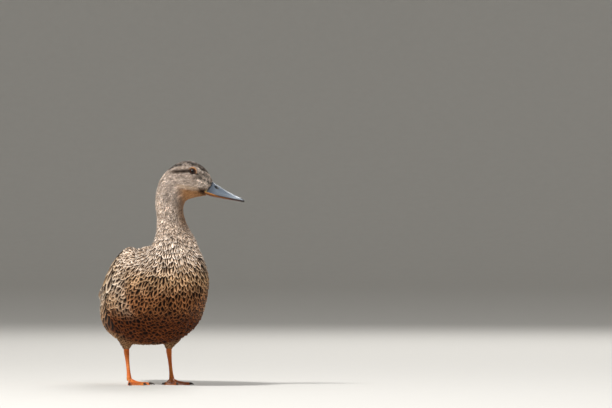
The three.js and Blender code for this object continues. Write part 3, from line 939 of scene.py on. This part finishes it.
def unwrapped(points, upright):
    """The turn about the trunk's axis, or about the neck's where upright, and the way along it."""
    x, y, z = np.moveaxis(points / MM, -1, 0)
    off = (points - NECK_AXIS) / MM
    about_neck = np.arctan2(off @ FORWARD, -(off @ LEFT))
    about_trunk = np.arctan2(x - MIDDLE_X / MM, z - 125)
    return np.where(upright, about_neck, about_trunk), np.where(upright, z, y)


def thinned(points, gap, heading, stretch):
    """Which places stay, in their given order, when none may be nearer to an earlier one than its gap.

    Along the heading the gap is longer, stretch times as long.
    """
    cell = (gap * stretch).max() * MM
    keys = np.floor(points / cell).astype(int).tolist()
    taken, kept = {}, []
    spots, ways = points.tolist(), heading.tolist()
    limits = ((gap * MM) ** 2).tolist()
    eases = (1 - 1 / stretch**2).tolist()
    around = [(i, j, k) for i in (-1, 0, 1) for j in (-1, 0, 1) for k in (-1, 0, 1)]
    for n, (a, b, c) in enumerate(keys):
        px, py, pz = spots[n]
        wx, wy, wz = ways[n]
        clear = True
        for i, j, k in around:
            for qx, qy, qz in taken.get((a + i, b + j, c + k), ()):
                dx, dy, dz = px - qx, py - qy, pz - qz
                along = dx * wx + dy * wy + dz * wz
                if dx * dx + dy * dy + dz * dz - eases[n] * along * along < limits[n]:
                    clear = False
                    break
            if not clear:
                break
        if clear:
            taken.setdefault((a, b, c), []).append((px, py, pz))
            kept.append(n)
    return np.array(kept)


def around_middle(points):
    """How many degrees from the top of the trunk each place is, and its y in millimetres."""
    x, y, z = (points / MM).T
    return np.degrees(np.arctan2(np.abs(x - MIDDLE_X / MM), z - middle_height(y))), y


def under_wing_cover(points):
    """1 where the large feathers of wing and flank lie over the small ones."""
    turn, y = around_middle(points)
    return ramp(turn, 10, 18) * ramp(turn, 124, 114) * ramp(y, -48, -20) * ramp(y, 108, 96)


def under_wing(points):
    """Where the folded wing and the tail's coverts lie so thick that no small feather grows."""
    turn, y = around_middle(points)
    return (y > 95) | ((turn > 68) & (turn < 112) & (y > -5) & (y < 50))


FEATHER = feather_material()
# How far apart the roots are, in millimetres, and how much longer than that apart the vanes are
pitch_at = {0: 0.32, 12: 0.38, 45: 0.48, 58: 0.65, 76: 1.2, 95: 1.9, 115: 2.7, 160: 3.4, 200: 4.0, 260: 5.0}
pitch = np.interp(walk, list(pitch_at), list(pitch_at.values()))
pitch *= 1 + 0.25 * ramp(np.abs(form.normals[:, 0]), 0.75, 0.98) * ramp(walk, 120, 150)
pitch *= 1 + 0.45 * ramp(form.normals[:, 2], 0.5, 0.85) * ramp(walk, 195, 240) * ramp(body_y, 100, 80)
pitch *= np.interp(hock_away, [6, 20, 40], [0.4, 0.6, 1])
pitch *= np.interp(eye_away, [4, 10], [0.75, 1])
long_at = {0: 3.0, 12: 3.6, 45: 3.8, 76: 3.2, 95: 2.5, 125: 2.2, 140: 1.9, 180: 1.5, 220: 1.25}
long_by = np.interp(walk, list(long_at), list(long_at.values()))


def small_feathers(name, slot, walks, grid, count, long, broad, point, plain, uneven, streaky):
    """The contour feathers whose roots lie between two walks from the bill, each a grid of quads.

    Of count random places those stay that are far enough apart. A share of the feathers is plain, and
    they differ by uneven from each other and by streaky from row to row.
    """
    low_walk, high_walk = walks
    inside = (walk >= low_walk - 1) & (walk < high_walk + 1) & ~on_bill
    weight = inside / pitch**2
    tri, weights = skin.scatter(weight, count)
    at_walk = skin.read(tri, weights, walk)
    gap = skin.read(tri, weights, pitch)
    roots = skin.read(tri, weights, skin.points)
    clear = (at_walk >= low_walk) & (at_walk < high_walk) & (eye_ring(roots) > 4.0) & ~under_wing(roots)
    tri, weights, roots, gap = tri[clear], weights[clear], roots[clear], gap[clear]
    stretch = skin.read(tri, weights, long_by)
    kept = thinned(roots, gap, skin.read(tri, weights, flow), stretch)
    tri, weights, roots, gap = tri[kept], weights[kept], roots[kept], gap[kept]
    at_walk, stretch = skin.read(tri, weights, walk), stretch[kept]
    heading = skin.read(tri, weights, flow)
    normal = skin.read(tri, weights, skin.normals)
    # Round each eye they lie along the lid instead of growing into it
    for eye_name in SIDES:
        off = roots - EYE[eye_name]
        along, _ = from_eye(roots, eye_name)
        outward = unit(off - along[:, None] * EYE_AXIS[eye_name])
        near = ramp(eye_ring(roots), 9.5, 5.0) * (along > 0)
        inward = np.minimum(dot(heading, outward), 0)
        heading = heading - outward * (inward * near * 1.25)[:, None]
    aside = np.cross(unit(normal), unit(heading))
    yaw = RNG.normal(0, 0.07 + 0.35 * uneven, len(roots))
    heading = unit(heading) + aside * yaw[:, None]
    length = gap * stretch * long * RNG.normal(1, 0.05 + 0.4 * uneven, len(roots)).clip(0.7, 1.3)
    half = gap * broad / 2 * RNG.normal(1, 0.04 + 0.3 * uneven, len(roots)).clip(0.7, 1.3)
    tall = skin.read(tri, weights, depth)
    high = tall * RNG.normal(0.88, 0.08 + 0.3 * uneven, len(roots)).clip(0.5, 1.0)
    high *= (1 - 0.6 * under_wing_cover(roots)) * (1 - 0.5 * skin.read(tri, weights, hollow))
    bend = RNG.normal(0, 1.5 * uneven, len(roots))
    points, vane = lay(skin, roots, heading, length, half, tall * 0.08, high, *grid, point, bend, 0.2)
    marks = marked(roots + unit(heading) * (length * 0.7 * MM)[:, None], normal, at_walk + length * 0.7)
    drawn = skin.read(tri, weights, streak)
    light = 1 + 0.07 * clouds(roots, 50) + RNG.normal(0, 0.06 + 0.8 * uneven, len(roots))
    light += (0.03 if high_walk < 100 else 0.09) * clouds(roots, 15)
    light += streaky * drawn
    light += marks.wild * (0.5 * clouds(roots, 5.6) + 0.5 * clouds(roots, 4) + 0.3 * drawn)
    marks.rim = marks.rim * light.clip(0.35, 1.3 + 0.4 * marks.wild)[:, None]
    unmarked = (RNG.random(len(roots)) < plain * (1 + 0.5 * drawn)) & (marks.form[:, 0] < 0.56)
    marks.core[unmarked] = mix(marks.core[unmarked], marks.rim[unmarked], 0.8)
    marks.core = marks.core * RNG.normal(light[:, None], 0.25).clip(0.4, 1.8)
    marks.form[:, 0] *= RNG.normal(1, 0.08 + uneven, len(roots)).clip(0.6, 1.5)
    marks.form[:, 1] *= RNG.normal(1, 0.03 + 0.5 * uneven, len(roots)).clip(0.7, 1.15)
    place = np.stack(unwrapped(roots, roots[:, 2] > NECK_FROM * MM), 1)
    return coat(name, slot, points, vane, marks, length, half, 0.35, place, FEATHER)


small_feathers("coat_face", "head_plumage", (0, 36), (4, 2), 400000, 1.8, 2.6, 0.9, 0.15, 0.08, 0.11)
small_feathers("coat_head", "head_plumage", (36, 76), (4, 2), 300000, 1.8, 2.6, 0.9, 0.15, 0.08, 0.11)
small_feathers("coat_neck", "head_plumage", (76, 128), (6, 4), 90000, 1.8, 2.0, 0.85, 0.05, 0.12, 0.10)
small_feathers("coat_breast", "body_plumage", (128, 205), (8, 8), 40000, 1.8, 1.95, 0.7, 0.0, 0.13, 0.08)
small_feathers("coat_side", "body_plumage", (205, 290), (8, 8), 30000, 1.8, 2.2, 0.3, 0.04, 0.10, 0.0)
small_feathers("coat_rear", "body_plumage", (290, 420), (8, 8), 30000, 1.75, 2.2, 0.2, 0.04, 0.08, 0.0)

# ---- Wings and tail: the large feathers ----------------------------------------------------------

# The large feathers are laid on a bed a little inside the form, less deep along the folded quills
outer = Surface(*remeshed([node_arrays(n) for n in FLESH + ["tail"] + QUILLS] + STUFFING, 1.8 * MM, 6))
quills = Surface(*remeshed([node_arrays(n) for n in QUILLS], 1.5 * MM, 1))
near_quills = np.array([quills.tree.find_nearest(p)[3] for p in outer.points.tolist()]) < 1.6 * MM
bed_depth = 2.6 - 1.9 * outer.smoothed(near_quills.astype(float), 12)
bed_depth *= np.interp(outer.points[:, 1] / MM, [100, 122], [1, 0.3])
bed = outer.inset(bed_depth * MM)


def on_side(y, turn, sign):
    """Where the bed is, that far back and that many degrees from the top, on one side."""
    start = np.array([MIDDLE_X, y * MM, middle_height(y) * MM])
    way = np.array([sign * math.sin(math.radians(turn)), 0, math.cos(math.radians(turn))])
    hit = bed.tree.ray_cast(start.tolist(), way.tolist())
    return np.array(hit[0][:])


def rows_of(name, slot, feathers, material, rim, core, form_marks, body_from=-200):
    """Large feathers: each is y, turn, sign, length, width, tilt, low, high, point and bend.

    Before body_from, towards the breast, they take the markings of the small feathers beside them.
    """
    table = np.array(feathers, float)
    y, turn, sign, length, width, tilt, low, high, point, bend = table.T
    roots = np.array([on_side(*r[:3]) for r in feathers])
    tri, weights = form.nearest(roots)
    heading = form.read(tri, weights, flow)
    normal = unit(form.read(tri, weights, form.normals))
    upward = unit(np.cross(heading, normal) * sign[:, None])
    tilt = np.radians(tilt + RNG.normal(0, 1.6, len(y)))
    heading = heading * np.cos(tilt)[:, None] + upward * np.sin(tilt)[:, None]
    length = length * RNG.normal(1, 0.03, len(y))
    points, vane = lay(bed, roots, heading, length, width / 2, low, high, 16, 8, point, bend * sign, 0.06)
    marks = marked(roots, normal, form.read(tri, weights, walk))
    as_body = ramp(y, body_from, body_from - 35)
    marks.rim = mix(shade(rim), marks.rim, as_body) * RNG.normal(1, 0.10, (len(y), 1))
    marks.core = mix(shade(core), marks.core, as_body) * RNG.normal(1, 0.15, (len(y), 1))
    marks.form = mix(form_marks, marks.form, as_body) + RNG.normal(0, [0.05, 0.02, 0.15], (len(y), 3))
    place = np.stack([turn * sign, y], 1)
    return coat(name, slot, points, vane, marks, length, width / 2, 1.0, place, material)


# Each list holds the feathers of one kind, on both sides, in the order of rows_of
primaries, secondaries, greater, median, tertials, scapulars, flanks, coverts = ([] for _ in range(8))
for sign in SIDES.values():
    for i in range(7):
        size = (91 - i * 7.5, 11, 3.0)
        primaries.append((24, 95 - i * 3.2, sign, *size, 0.3 + 0.2 * i, 0.7 + 0.25 * i, 0.9, 0))
    for i in range(9):
        level = (1.7 + 0.1 * i, 2.3 + 0.12 * i)
        secondaries.append((10 + i * 4.4, 104 - i * 2.6, sign, 40, 12.5, 2, *level, 0.1, 0))
    for i in range(9):
        greater.append((-14 + i * 4.6, 103 - i * 2.6, sign, 30, 12, 2, 2.4, 3.0 + 0.06 * i, 0.1, 0))
    for i in range(8):
        high = 3.35 - 0.05 * i
        median.append((-18 + i * 5.5, 99 - i * 2.8, sign, 24, 12.5, 0, 2.2, high, 0, 0))
        median.append((-30 + i * 5.5, 95 - i * 2.4, sign, 20, 12, 0, 2.3, 3.0, 0, 0))
    for i in range(4):
        level = (2.2 + 0.15 * i, 2.3 + 0.15 * i)
        tertials.append((4 + i * 4, 72 - i * 9, sign, 82 - i * 4, 18, 1.5, *level, 0.75, 0.04))
    for row in range(5):
        first = 1 if row == 1 else 0  # one more there would cut through the coverts
        for i in range(first, 5 if row == 4 else 6):
            place = (2 - row * 13.5 + i * 3.0, 76 - i * 11 + row * 2.2)
            size = (46 - row * 4.4, 18.5 - row * 1.4, 2)
            scapulars.append((place[0], place[1], sign, *size, 2.2, 3.0, 0.4, 0))
    for row in range(8):
        back = 60 - row * 12
        first = np.interp(back, [-25, -12, 0, 25, 60], [92, 103, 102, 108, 117])
        share = np.interp(back, [-25, 0, 60], [0.55, 0.7, 1])
        for i in range(int((136 - first) / (9 * share))):
            turn = first + (i + 0.5 * (row % 2)) * 9 * share
            flanks.append((back - i * 2, turn, sign, 38 * share, 19 * share, 3 - i, 1.4, 3.1, 0.2, 0))
    for i in range(5):
        for back, shift, long, *level in (
            (114, 12, 32, 0.4, 0.9),
            (102, 4, 32, 0.7, 1.3),
            (90, 12, 30, 1.0, 1.8),
            (78, 4, 28, 1.4, 2.4),
        ):
            turn = shift + i * 16
            coverts.append((back - i * 1.5, turn, sign, long, 13, 0, *level, 0.5, 0))
            coverts.append((back - i * 1.5, 180 - turn, sign, long + 2, 13.5, 0, *level, 0.5, 0))

quill_piece = rows_of("primaries", "flight_plumage", primaries, FEATHER, "8d7a68", "2e2520", (0.93, 0.96, 0))
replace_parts(quill_piece, *QUILLS)
SPECULUM = speculum_material()
rows_of("secondaries", "flight_plumage", secondaries, SPECULUM, "e8e2d6", "1d2f8f", (0.9, 0.9, 0))
rows_of("greater_coverts", "wing_plumage", greater, FEATHER, "e2d7c6", "3f352e", (1.7, 0.86, 0))
rows_of("median_coverts", "wing_plumage", median, FEATHER, "b3a594", "5b5048", (0.86, 0.84, 0))
rows_of("tertials", "flight_plumage", tertials, FEATHER, "cdb798", "54453a", (0.84, 0.92, 0))
rows_of("scapulars", "wing_plumage", scapulars, FEATHER, "c9aa82", "2a1d14", (0.84, 0.9, 0.6), -15)
rows_of("flank_feathers", "body_plumage", flanks, FEATHER, "caa880", "2b1c12", (0.76, 0.86, 0.7), 10)
rows_of("tail_coverts", "tail_plumage", coverts, FEATHER, "cdb08a", "33231a", (0.7, 0.84, 0.5))


def flat_map(mesh, points, quads):
    """The OFBake map of a piece seen along its thinnest way, with its two faces side by side."""
    low, high = points.min(0), points.max(0)
    place = (points - low) / np.maximum(high - low, 1e-9)
    order = np.argsort(high - low)
    facing = normals_of(points, quads)[:, order[0]] > 0
    uv = place[quads][:, :, order[1:]] * [0.46, 0.96] + 0.02
    uv[:, :, 0] += 0.5 * facing[:, None]
    set_map(mesh, uv)


def tail_sheet():
    """The arched sheet that the tail feathers lie on, a little wider than the tail."""
    across = np.linspace(-1.5, 1.5, 31)
    along = np.linspace(-0.1, 1.15, 41)
    v, w = np.meshgrid(along, across, indexing="ij")
    x = MIDDLE_X + w * TAIL_HALF + v * TAIL_SWING
    y = TAIL_LOW[1] + v * (TAIL_HIGH[1] - TAIL_LOW[1])
    z = TAIL_ROOT_Z + v * (TAIL_TIP_Z - TAIL_ROOT_Z) - 2.2 * MM * w**2
    quads = grid_quads(np.arange(v.size).reshape(v.shape))[:, [0, 3, 2, 1]]
    return Surface(np.stack([x, y, z], -1).reshape(-1, 3), quads)


def tail_vanes(name, sheet, upper):
    """The fan of tail feathers on one face of the sheet, the middle ones outermost."""
    order = np.arange(TAIL_FEATHERS, 0, -1) - 0.5
    turn = np.concatenate([order, -order]) / TAIL_FEATHERS
    same = np.ones(len(turn))
    off_middle = np.abs(turn)
    start = [MIDDLE_X + turn * 13 * MM, same * (TAIL_LOW[1] + 4 * MM), same * TAIL_ROOT_Z]
    start = np.stack(start, 1)
    tip_x = MIDDLE_X + TAIL_SWING + turn * (TAIL_HALF - 3 * MM)
    end = np.stack([tip_x, TAIL_HIGH[1] - 13 * MM * turn**2, same * TAIL_TIP_Z], 1)
    length = np.linalg.norm(end - start, axis=1) / MM - 1.5
    half = 6.4
    low = 0.15 + (1.5 if upper else 0.9) * (1 - off_middle)
    points, vane = lay(sheet, start, unit(end - start), length, half, low, low + 0.3, 18, 8, 0.3, 0, 0.04)
    if not upper:
        points = points - 2 * (points - sheet_place(sheet, points))
    rim, core = ("cdb28a", "3e2b1f") if upper else ("c4ad8a", "6a5440")
    marks = Markings(len(turn))
    marks.rim = shade(rim) * RNG.normal(1, 0.07, (len(turn), 1))
    marks.core = shade(core) * RNG.normal(1, 0.08, (len(turn), 1))
    marks.rim = mix(marks.rim, shade("ded0b6"), off_middle**2)
    marks.form = np.stack([1.9 - 0.6 * off_middle, 1.15 - 0.15 * off_middle, 0.35 * same], 1)
    place = np.stack([turn, same], 1)
    return coat(name, "tail_plumage", points, vane, marks, length, half, 1.0, place, FEATHER)


def sheet_place(sheet, points):
    """The nearest places on a sheet."""
    tri, weights = sheet.nearest(points.reshape(-1, 3))
    return sheet.read(tri, weights, sheet.points).reshape(points.shape)


SHEET = tail_sheet()
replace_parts(tail_vanes("tail_upper", SHEET, True), "tail")
tail_vanes("tail_under", SHEET, False)

# ---- The skin, with the legs and lids ------------------------------------------------------------

LEG_VOXEL = 0.6 * MM
SHIN_UP = 7 * MM  # how far the shin is drawn up into the thigh, to leave no gap


def leg_nodes(side_name):
    """The solids of one leg below the hock."""
    points, faces = node_arrays(f"tarsus_{side_name}")
    top = points[:, 2] > points[:, 2].max() - 0.5 * MM
    points[top] += UP * SHIN_UP
    return [(points, faces), node_arrays(f"foot_{side_name}"), node_arrays(f"hind_toe_{side_name}")]


def lid_ring(side_name):
    """A rounded rim that hugs the ball of the eye and is drawn out to a corner before and behind it."""
    axis = EYE_AXIS[side_name]
    ahead = unit(FORWARD - axis * (FORWARD @ axis))
    above = np.cross(ahead, axis) * (1 if np.cross(ahead, axis)[2] > 0 else -1)
    turns, ring = 64, 12
    around = np.linspace(0, 2 * np.pi, turns, endpoint=False)
    wide = (LID_WIDE + 0.35 * np.abs(np.cos(around)) ** 6) * MM
    tall = LID_TALL * MM
    flat = np.cos(around)[:, None] * wide[:, None] * ahead + np.sin(around)[:, None] * tall * above
    distance = np.linalg.norm(flat, axis=1)
    radius = EYE_RADIUS + 0.3 * MM
    out = np.sqrt(np.maximum(radius**2 - distance**2, 0))
    spine = EYE[side_name] + flat + axis * out[:, None]
    section = np.linspace(0, 2 * np.pi, ring, endpoint=False)
    thick = (0.36 + 0.14 * (np.sin(around) > 0) * np.sin(around)) * MM
    flat_way = unit(flat)[:, None] * (np.cos(section) * 1.25)[:, None]
    deep_way = axis * np.sin(section)[:, None]
    points = (spine[:, None] + (flat_way + deep_way) * thick[:, None, None]).reshape(-1, 3)
    quads = grid_quads(np.arange(turns * ring).reshape(turns, ring), round_rows=True, round_columns=True)
    return points, turned_out(points, quads, np.repeat(spine, ring, 0))


# The skin leaves the bill, the balls of the eyes and the end of the tail free
SKIN_END = 136  # how far back it goes, in millimetres
f, _, u = in_head(skin.points)
free = [(f > bill_edge(u) + 5) & (u < 0) & on_bill, eye_away < 3.4, skin.points[:, 1] > SKIN_END * MM]
keep_face = ~np.any([points_free[skin.quads].all(1) for points_free in free], axis=0)
skin_marks = marked(form.points, form.normals, walk)
by_lid = ramp(eye_away, 4.9, 4.3)
skin_rim = mix(skin_marks.rim * 0.55, shade("241912"), by_lid)
skin_core = mix(skin_marks.core * 0.8, shade("160f0b"), by_lid)
# Each lot: points, quads, rim colours, core colours and the number of its material
lots = [(skin.points, skin.quads[keep_face], skin_rim, skin_core, 0)]
for side_name in SIDES:
    points, quads = remeshed(leg_nodes(side_name), LEG_VOXEL, 3)
    lots.append((points, quads, np.zeros_like(points), np.zeros_like(points), 1))
for side_name in SIDES:
    points, quads = lid_ring(side_name)
    plain = np.ones((len(points), 1))
    lots.append((points, quads, plain * shade("3d2c22"), plain * shade("1c1410"), 2))
all_points = np.concatenate([lot[0] for lot in lots])
starts = np.cumsum([0] + [len(lot[0]) for lot in lots])
all_quads = np.concatenate([lot[1] + start for lot, start in zip(lots, starts)])
part_of = np.concatenate([np.full(len(lot[1]), lot[4]) for lot in lots])
skin_mesh = as_mesh("skin", all_points, all_quads)
set_field(skin_mesh, "rim", "FLOAT_COLOR", np.concatenate([lot[2] for lot in lots]))
set_field(skin_mesh, "core", "FLOAT_COLOR", np.concatenate([lot[3] for lot in lots]))

# Where the legs have scutes, how far up or along they are, and where there is web
face_normal = unit(normals_of(all_points, all_quads))
point_normal = np.zeros_like(all_points)
for k in range(4):
    point_normal += gathered(len(all_points), all_quads[:, k], face_normal)
point_normal = unit(point_normal)
lift = all_points[:, 2] / MM
on_shin = ramp(lift, 8, 12)
way = np.zeros(len(all_points))
for side_name in SIDES:
    ankle = corners(f"tarsus_{side_name}")
    heel = np.array([(ankle[0][0] + ankle[1][0]) / 2, ankle[1][1] - 4 * MM])
    near_side = np.sign(all_points[:, 0] - MIDDLE_X) == SIDES[side_name]
    way = np.where(near_side, np.linalg.norm(all_points[:, :2] - heel, axis=1) / MM, way)
ridge_top = ramp(lift, 3.4, 4.6) * ramp(point_normal[:, 2], 0.3, 0.8)
plated = np.maximum(on_shin * ramp(-point_normal[:, 1], 0.0, 0.5), (1 - on_shin) * ridge_top)
scute = np.stack([np.where(lift > 9, lift, -way), plated, np.zeros(len(all_points))], 1)
set_field(skin_mesh, "scute", "FLOAT_VECTOR", scute)
on_web = (1 - on_shin) * ramp(lift, 4.4, 3.2) * ramp(point_normal[:, 2], 0.5, 0.9)
set_field(skin_mesh, "web", "FLOAT", on_web)
skin_mesh.polygons.foreach_set("material_index", part_of.astype(np.int32))
LEG_NODES = [f"{part}_{side_name}" for side_name in SIDES for part in ("tarsus", "foot", "hind_toe")]
SKIN = skin_material()
dressed("skin", skin_mesh, [SKIN, leg_material(), SKIN], "leg", *FLESH, *LEG_NODES)


def charts(mesh, points, quads, chart_of):
    """The OFBake map of the skin: the body, each leg and the lids turned flat in strips of their own."""
    uv = np.zeros((len(quads), 4, 2))
    for chart in np.unique(chart_of):
        faces = chart_of == chart
        spot = points[quads[faces]]
        if chart == 0:
            upright = spot[..., 2].mean(1, keepdims=True) > NECK_FROM * MM
            turn, along = unwrapped(spot, upright)
            along = along + 200 * upright
        else:
            middle = spot.mean((0, 1))
            turn = np.arctan2(spot[..., 0] - middle[0], spot[..., 1] - middle[1])
            along = spot[..., 2] / MM
        past_seam = turn.max(1, keepdims=True) - turn > np.pi
        turn = np.where(past_seam, turn + 2 * np.pi, turn)
        pair = np.stack([turn, along], -1)
        low, high = pair.min((0, 1)), pair.max((0, 1))
        pair = (pair - low) / np.maximum(high - low, 1e-9)
        left, width = (0.01, 0.68) if chart == 0 else (0.7 + 0.075 * (chart - 1), 0.07)
        uv[faces] = pair * [width, 0.98] + [left, 0.01]
    set_map(mesh, uv)


chart_of = np.concatenate([np.full(len(lot[1]), n) for n, lot in enumerate(lots)])
charts(skin_mesh, all_points, all_quads, chart_of)

# ---- Eyes, bill and claws -----------------------------------------------------------------------


def eye_ball(side_name, material):
    """A ball with a clear bulge before the iris."""
    axis = EYE_AXIS[side_name]
    ahead = unit(FORWARD - axis * (FORWARD @ axis))
    above = np.cross(ahead, axis)
    rings, turns = 40, 56
    tilt = np.linspace(0.002, np.pi - 0.002, rings)
    around = np.linspace(0, 2 * np.pi, turns, endpoint=False)
    away = np.sin(tilt) * EYE_RADIUS / MM
    front = np.cos(tilt) > 0
    bulge = 0.3 * np.maximum(1 - (away / 3.4) ** 2, 0) * front * MM
    out = np.cos(tilt) * EYE_RADIUS + bulge
    way = np.cos(around)[:, None] * ahead + np.sin(around)[:, None] * above
    points = EYE[side_name] + axis * out[:, None, None] + way * (away * MM)[:, None, None]
    iris = np.zeros(points.shape)
    iris[..., 0] = np.where(front, away, 9)[:, None]
    iris[..., 1] = np.abs(around - np.pi)
    points = points.reshape(-1, 3)
    quads = grid_quads(np.arange(rings * turns).reshape(rings, turns), round_columns=True)
    quads = turned_out(points, quads, EYE[side_name])
    mesh = as_mesh(f"eye_ball_{side_name}", points, quads)
    set_field(mesh, "iris", "FLOAT_VECTOR", iris.reshape(-1, 3))
    flat_map(mesh, points, quads)
    dressed(mesh.name, mesh, [material], "eye", f"eye_{side_name}")


EYE_GLASS = eye_material()
for side_name in SIDES:
    eye_ball(side_name, EYE_GLASS)

NOSTRIL = {"forward": 31.0, "up": -20.8, "slope": -34, "long": 3.4, "tall": 1.35}
NAIL = {"forward": 64.5, "long": 5.0, "wide": 3.4}


def bill_half(name, node, slot, is_upper, material):
    """One half of the bill: nostrils and nail on the upper half, and its colours."""
    half = Surface(*remeshed([node_arrays(node)], 0.45 * MM, 4))
    f, l, u = in_head(half.points)
    slope = math.radians(NOSTRIL["slope"])
    along = (f - NOSTRIL["forward"]) * math.cos(slope) + (u - NOSTRIL["up"]) * math.sin(slope)
    aside = -(f - NOSTRIL["forward"]) * math.sin(slope) + (u - NOSTRIL["up"]) * math.cos(slope)
    hole = np.hypot(along / NOSTRIL["long"], aside / NOSTRIL["tall"])
    nail = np.hypot((f - NAIL["forward"]) / NAIL["long"], l / NAIL["wide"])
    upward = half.normals[:, 2]
    low_edge = np.interp(f, [13.8, 28.5, 45.9, 66.6], [-25.6, -30.6, -34.3, -38.6])
    above_edge = u - low_edge
    push = np.zeros(len(f))
    paint = np.tile(shade("5c6672"), (len(f), 1))
    if is_upper:
        push -= 1.3 * ramp(hole, 1.0, 0.55) * (np.abs(l) > 1)
        push += 0.25 * hump(hole, 1.35, 0.5)
        push += (0.35 * ramp(nail, 1.0, 0.75) - 0.2 * hump(nail, 1.12, 0.22)) * ramp(upward, -0.1, 0.3)
        sideways = ramp(np.abs(half.normals @ LEFT), 0.3, 0.8)
        push -= 0.25 * hump(above_edge, 1.6, 0.9) * ramp(f, 20, 26) * sideways
        paint = mix(paint, shade("333c49"), ramp(f, 33, 19) * 0.9)
        paint = mix(paint, shade("98a1ab"), ramp(f, 42, 60) * 0.85)
        paint = mix(paint, shade("59616c"), hump(l, 0, 3.5) * ramp(upward, 0.3, 0.8) * ramp(f, 52, 30) * 0.8)
        edge = ramp(above_edge, 1.5, 0.5)
        paint = mix(paint, shade("3c2c28"), edge)
        paint = mix(paint, shade("d08a38"), ramp(above_edge, 0.9, 0.4) * ramp(f, 34, 26))
        paint = mix(paint, shade("c2a866"), hump(f - bill_edge(u), 1.8, 2.0) * ramp(u, -16, -21))
        paint = mix(paint, shade("211d1c"), ramp(nail, 1.15, 0.95) * ramp(upward, -0.6, 0.2))
        # The nostril's opening is painted near black: painted shade inside the hole
        paint = mix(paint, shade("120f10"), ramp(hole, 1.25, 0.8) * (np.abs(l) > 1))
    else:
        paint = mix(shade("cf7c2c") * np.ones((len(f), 1)), shade("50291f"), ramp(f, 38, 52))
        paint = mix(paint, shade("4a2c1e"), ramp(above_edge, -0.7, -1.5) * 0.9)
        paint = mix(paint, shade("2a1e1b"), ramp(f, 60, 64))
    points = (half.points + half.normals * (push * MM)[:, None]).clip(*CAD_BOX)
    mesh = as_mesh(name, points, half.quads)
    set_field(mesh, "paint", "FLOAT_COLOR", paint)
    set_field(mesh, "bill_place", "FLOAT_VECTOR", np.stack([f, l, u], 1))
    flat_map(mesh, points, half.quads)
    dressed(name, mesh, [material], slot, node)


HORN = bill_material()
bill_half("bill_top", "bill_upper", "bill", True, HORN)
bill_half("bill_bottom", "bill_lower", "bill_edge", False, HORN)

CLAW = claw_material()
for side_name in SIDES:
    for toe in ("inner", "middle", "outer"):
        node = f"claw_{side_name}_{toe}"
        points, faces = node_arrays(node)
        inward = unit((centre(f"foot_{side_name}") - centre(node)) * [1, 1, 0])
        rooted = points + inward * 1.8 * MM + UP * 0.3 * MM
        nail_form = Surface(*remeshed([(points, faces), (rooted, faces)], 0.3 * MM, 3))
        mesh = as_mesh(f"horn_{side_name}_{toe}", nail_form.points, nail_form.quads)
        flat_map(mesh, nail_form.points, nail_form.quads)
        dressed(mesh.name, mesh, [CLAW], "claw", node)

# ---- Floor, light and camera ---------------------------------------------------------------------

ROOM_RADIUS = 10.5  # the flat floor's; beyond it the floor sweeps up into a wall
WALL_CURVE = 3.5
WALL_TOP = 9.0
turns = 96
bend = np.linspace(0, np.pi / 2, 13)
radius = [[0.0004, 1, 3, 6], ROOM_RADIUS + WALL_CURVE * np.sin(bend), [ROOM_RADIUS + WALL_CURVE]]
radius = np.concatenate(radius)[:, None]
rise = np.concatenate([[0, 0, 0, 0], WALL_CURVE * (1 - np.cos(bend)), [WALL_TOP]])[:, None]
around = np.linspace(0, 2 * np.pi, turns, endpoint=False)
bowl = np.stack([radius * np.cos(around), radius * np.sin(around), rise + 0 * around], -1)
bowl_quads = grid_quads(np.arange(bowl.size // 3).reshape(-1, turns), round_columns=True)
bowl_quads = np.concatenate([bowl_quads, [[0, turns // 4, turns // 2, 3 * turns // 4]]])
floor = shown("floor", as_mesh("floor", bowl.reshape(-1, 3), bowl_quads), floor_material())

LIGHTS = {  # where each soft light stands and looks, its width and its power
    "key": ((-2.0, -1.35, 3.0), (0, -0.05, 0.15), 0.6, 150),
    "fill": ((1.2, -3.6, 1.3), (0, -0.05, 0.15), 2.4, 16),
    "back": ((1.6, 2.6, 2.2), (0, 0, 0.15), 1.6, 45),
}
for name, (stand, target, width, power) in LIGHTS.items():
    data = bpy.data.lights.new(name, "AREA")
    data.size = width
    data.energy = power
    lamp = bpy.data.objects.new(name, data)
    bpy.context.scene.collection.objects.link(lamp)
    lamp.location = stand
    lamp.rotation_mode = "QUATERNION"
    lamp.rotation_quaternion = (Vector(target) - Vector(stand)).to_track_quat("-Z", "Y")

world = bpy.data.worlds.new("studio")
bpy.context.scene.world = world
world.use_nodes = True
world.node_tree.nodes["Background"].inputs[0].default_value = (0.80, 0.80, 0.79, 1)
world.node_tree.nodes["Background"].inputs[1].default_value = 0.45

AZIMUTH = math.radians(-17)
DISTANCE = 8.84
AIM = Vector((0.1553, -0.1719, 0.23725))
look = Vector((-math.sin(AZIMUTH), math.cos(AZIMUTH), 0))
camera = bpy.data.objects.new("camera", bpy.data.cameras.new("camera"))
bpy.context.scene.collection.objects.link(camera)
camera.data.lens = 400
camera.data.sensor_width = 36
camera.data.clip_end = 200
camera.location = AIM - look * DISTANCE
camera.rotation_mode = "QUATERNION"
camera.rotation_quaternion = look.to_track_quat("-Z", "Y")
bpy.context.scene.camera = camera
bpy.context.scene.view_settings.view_transform = "Standard"
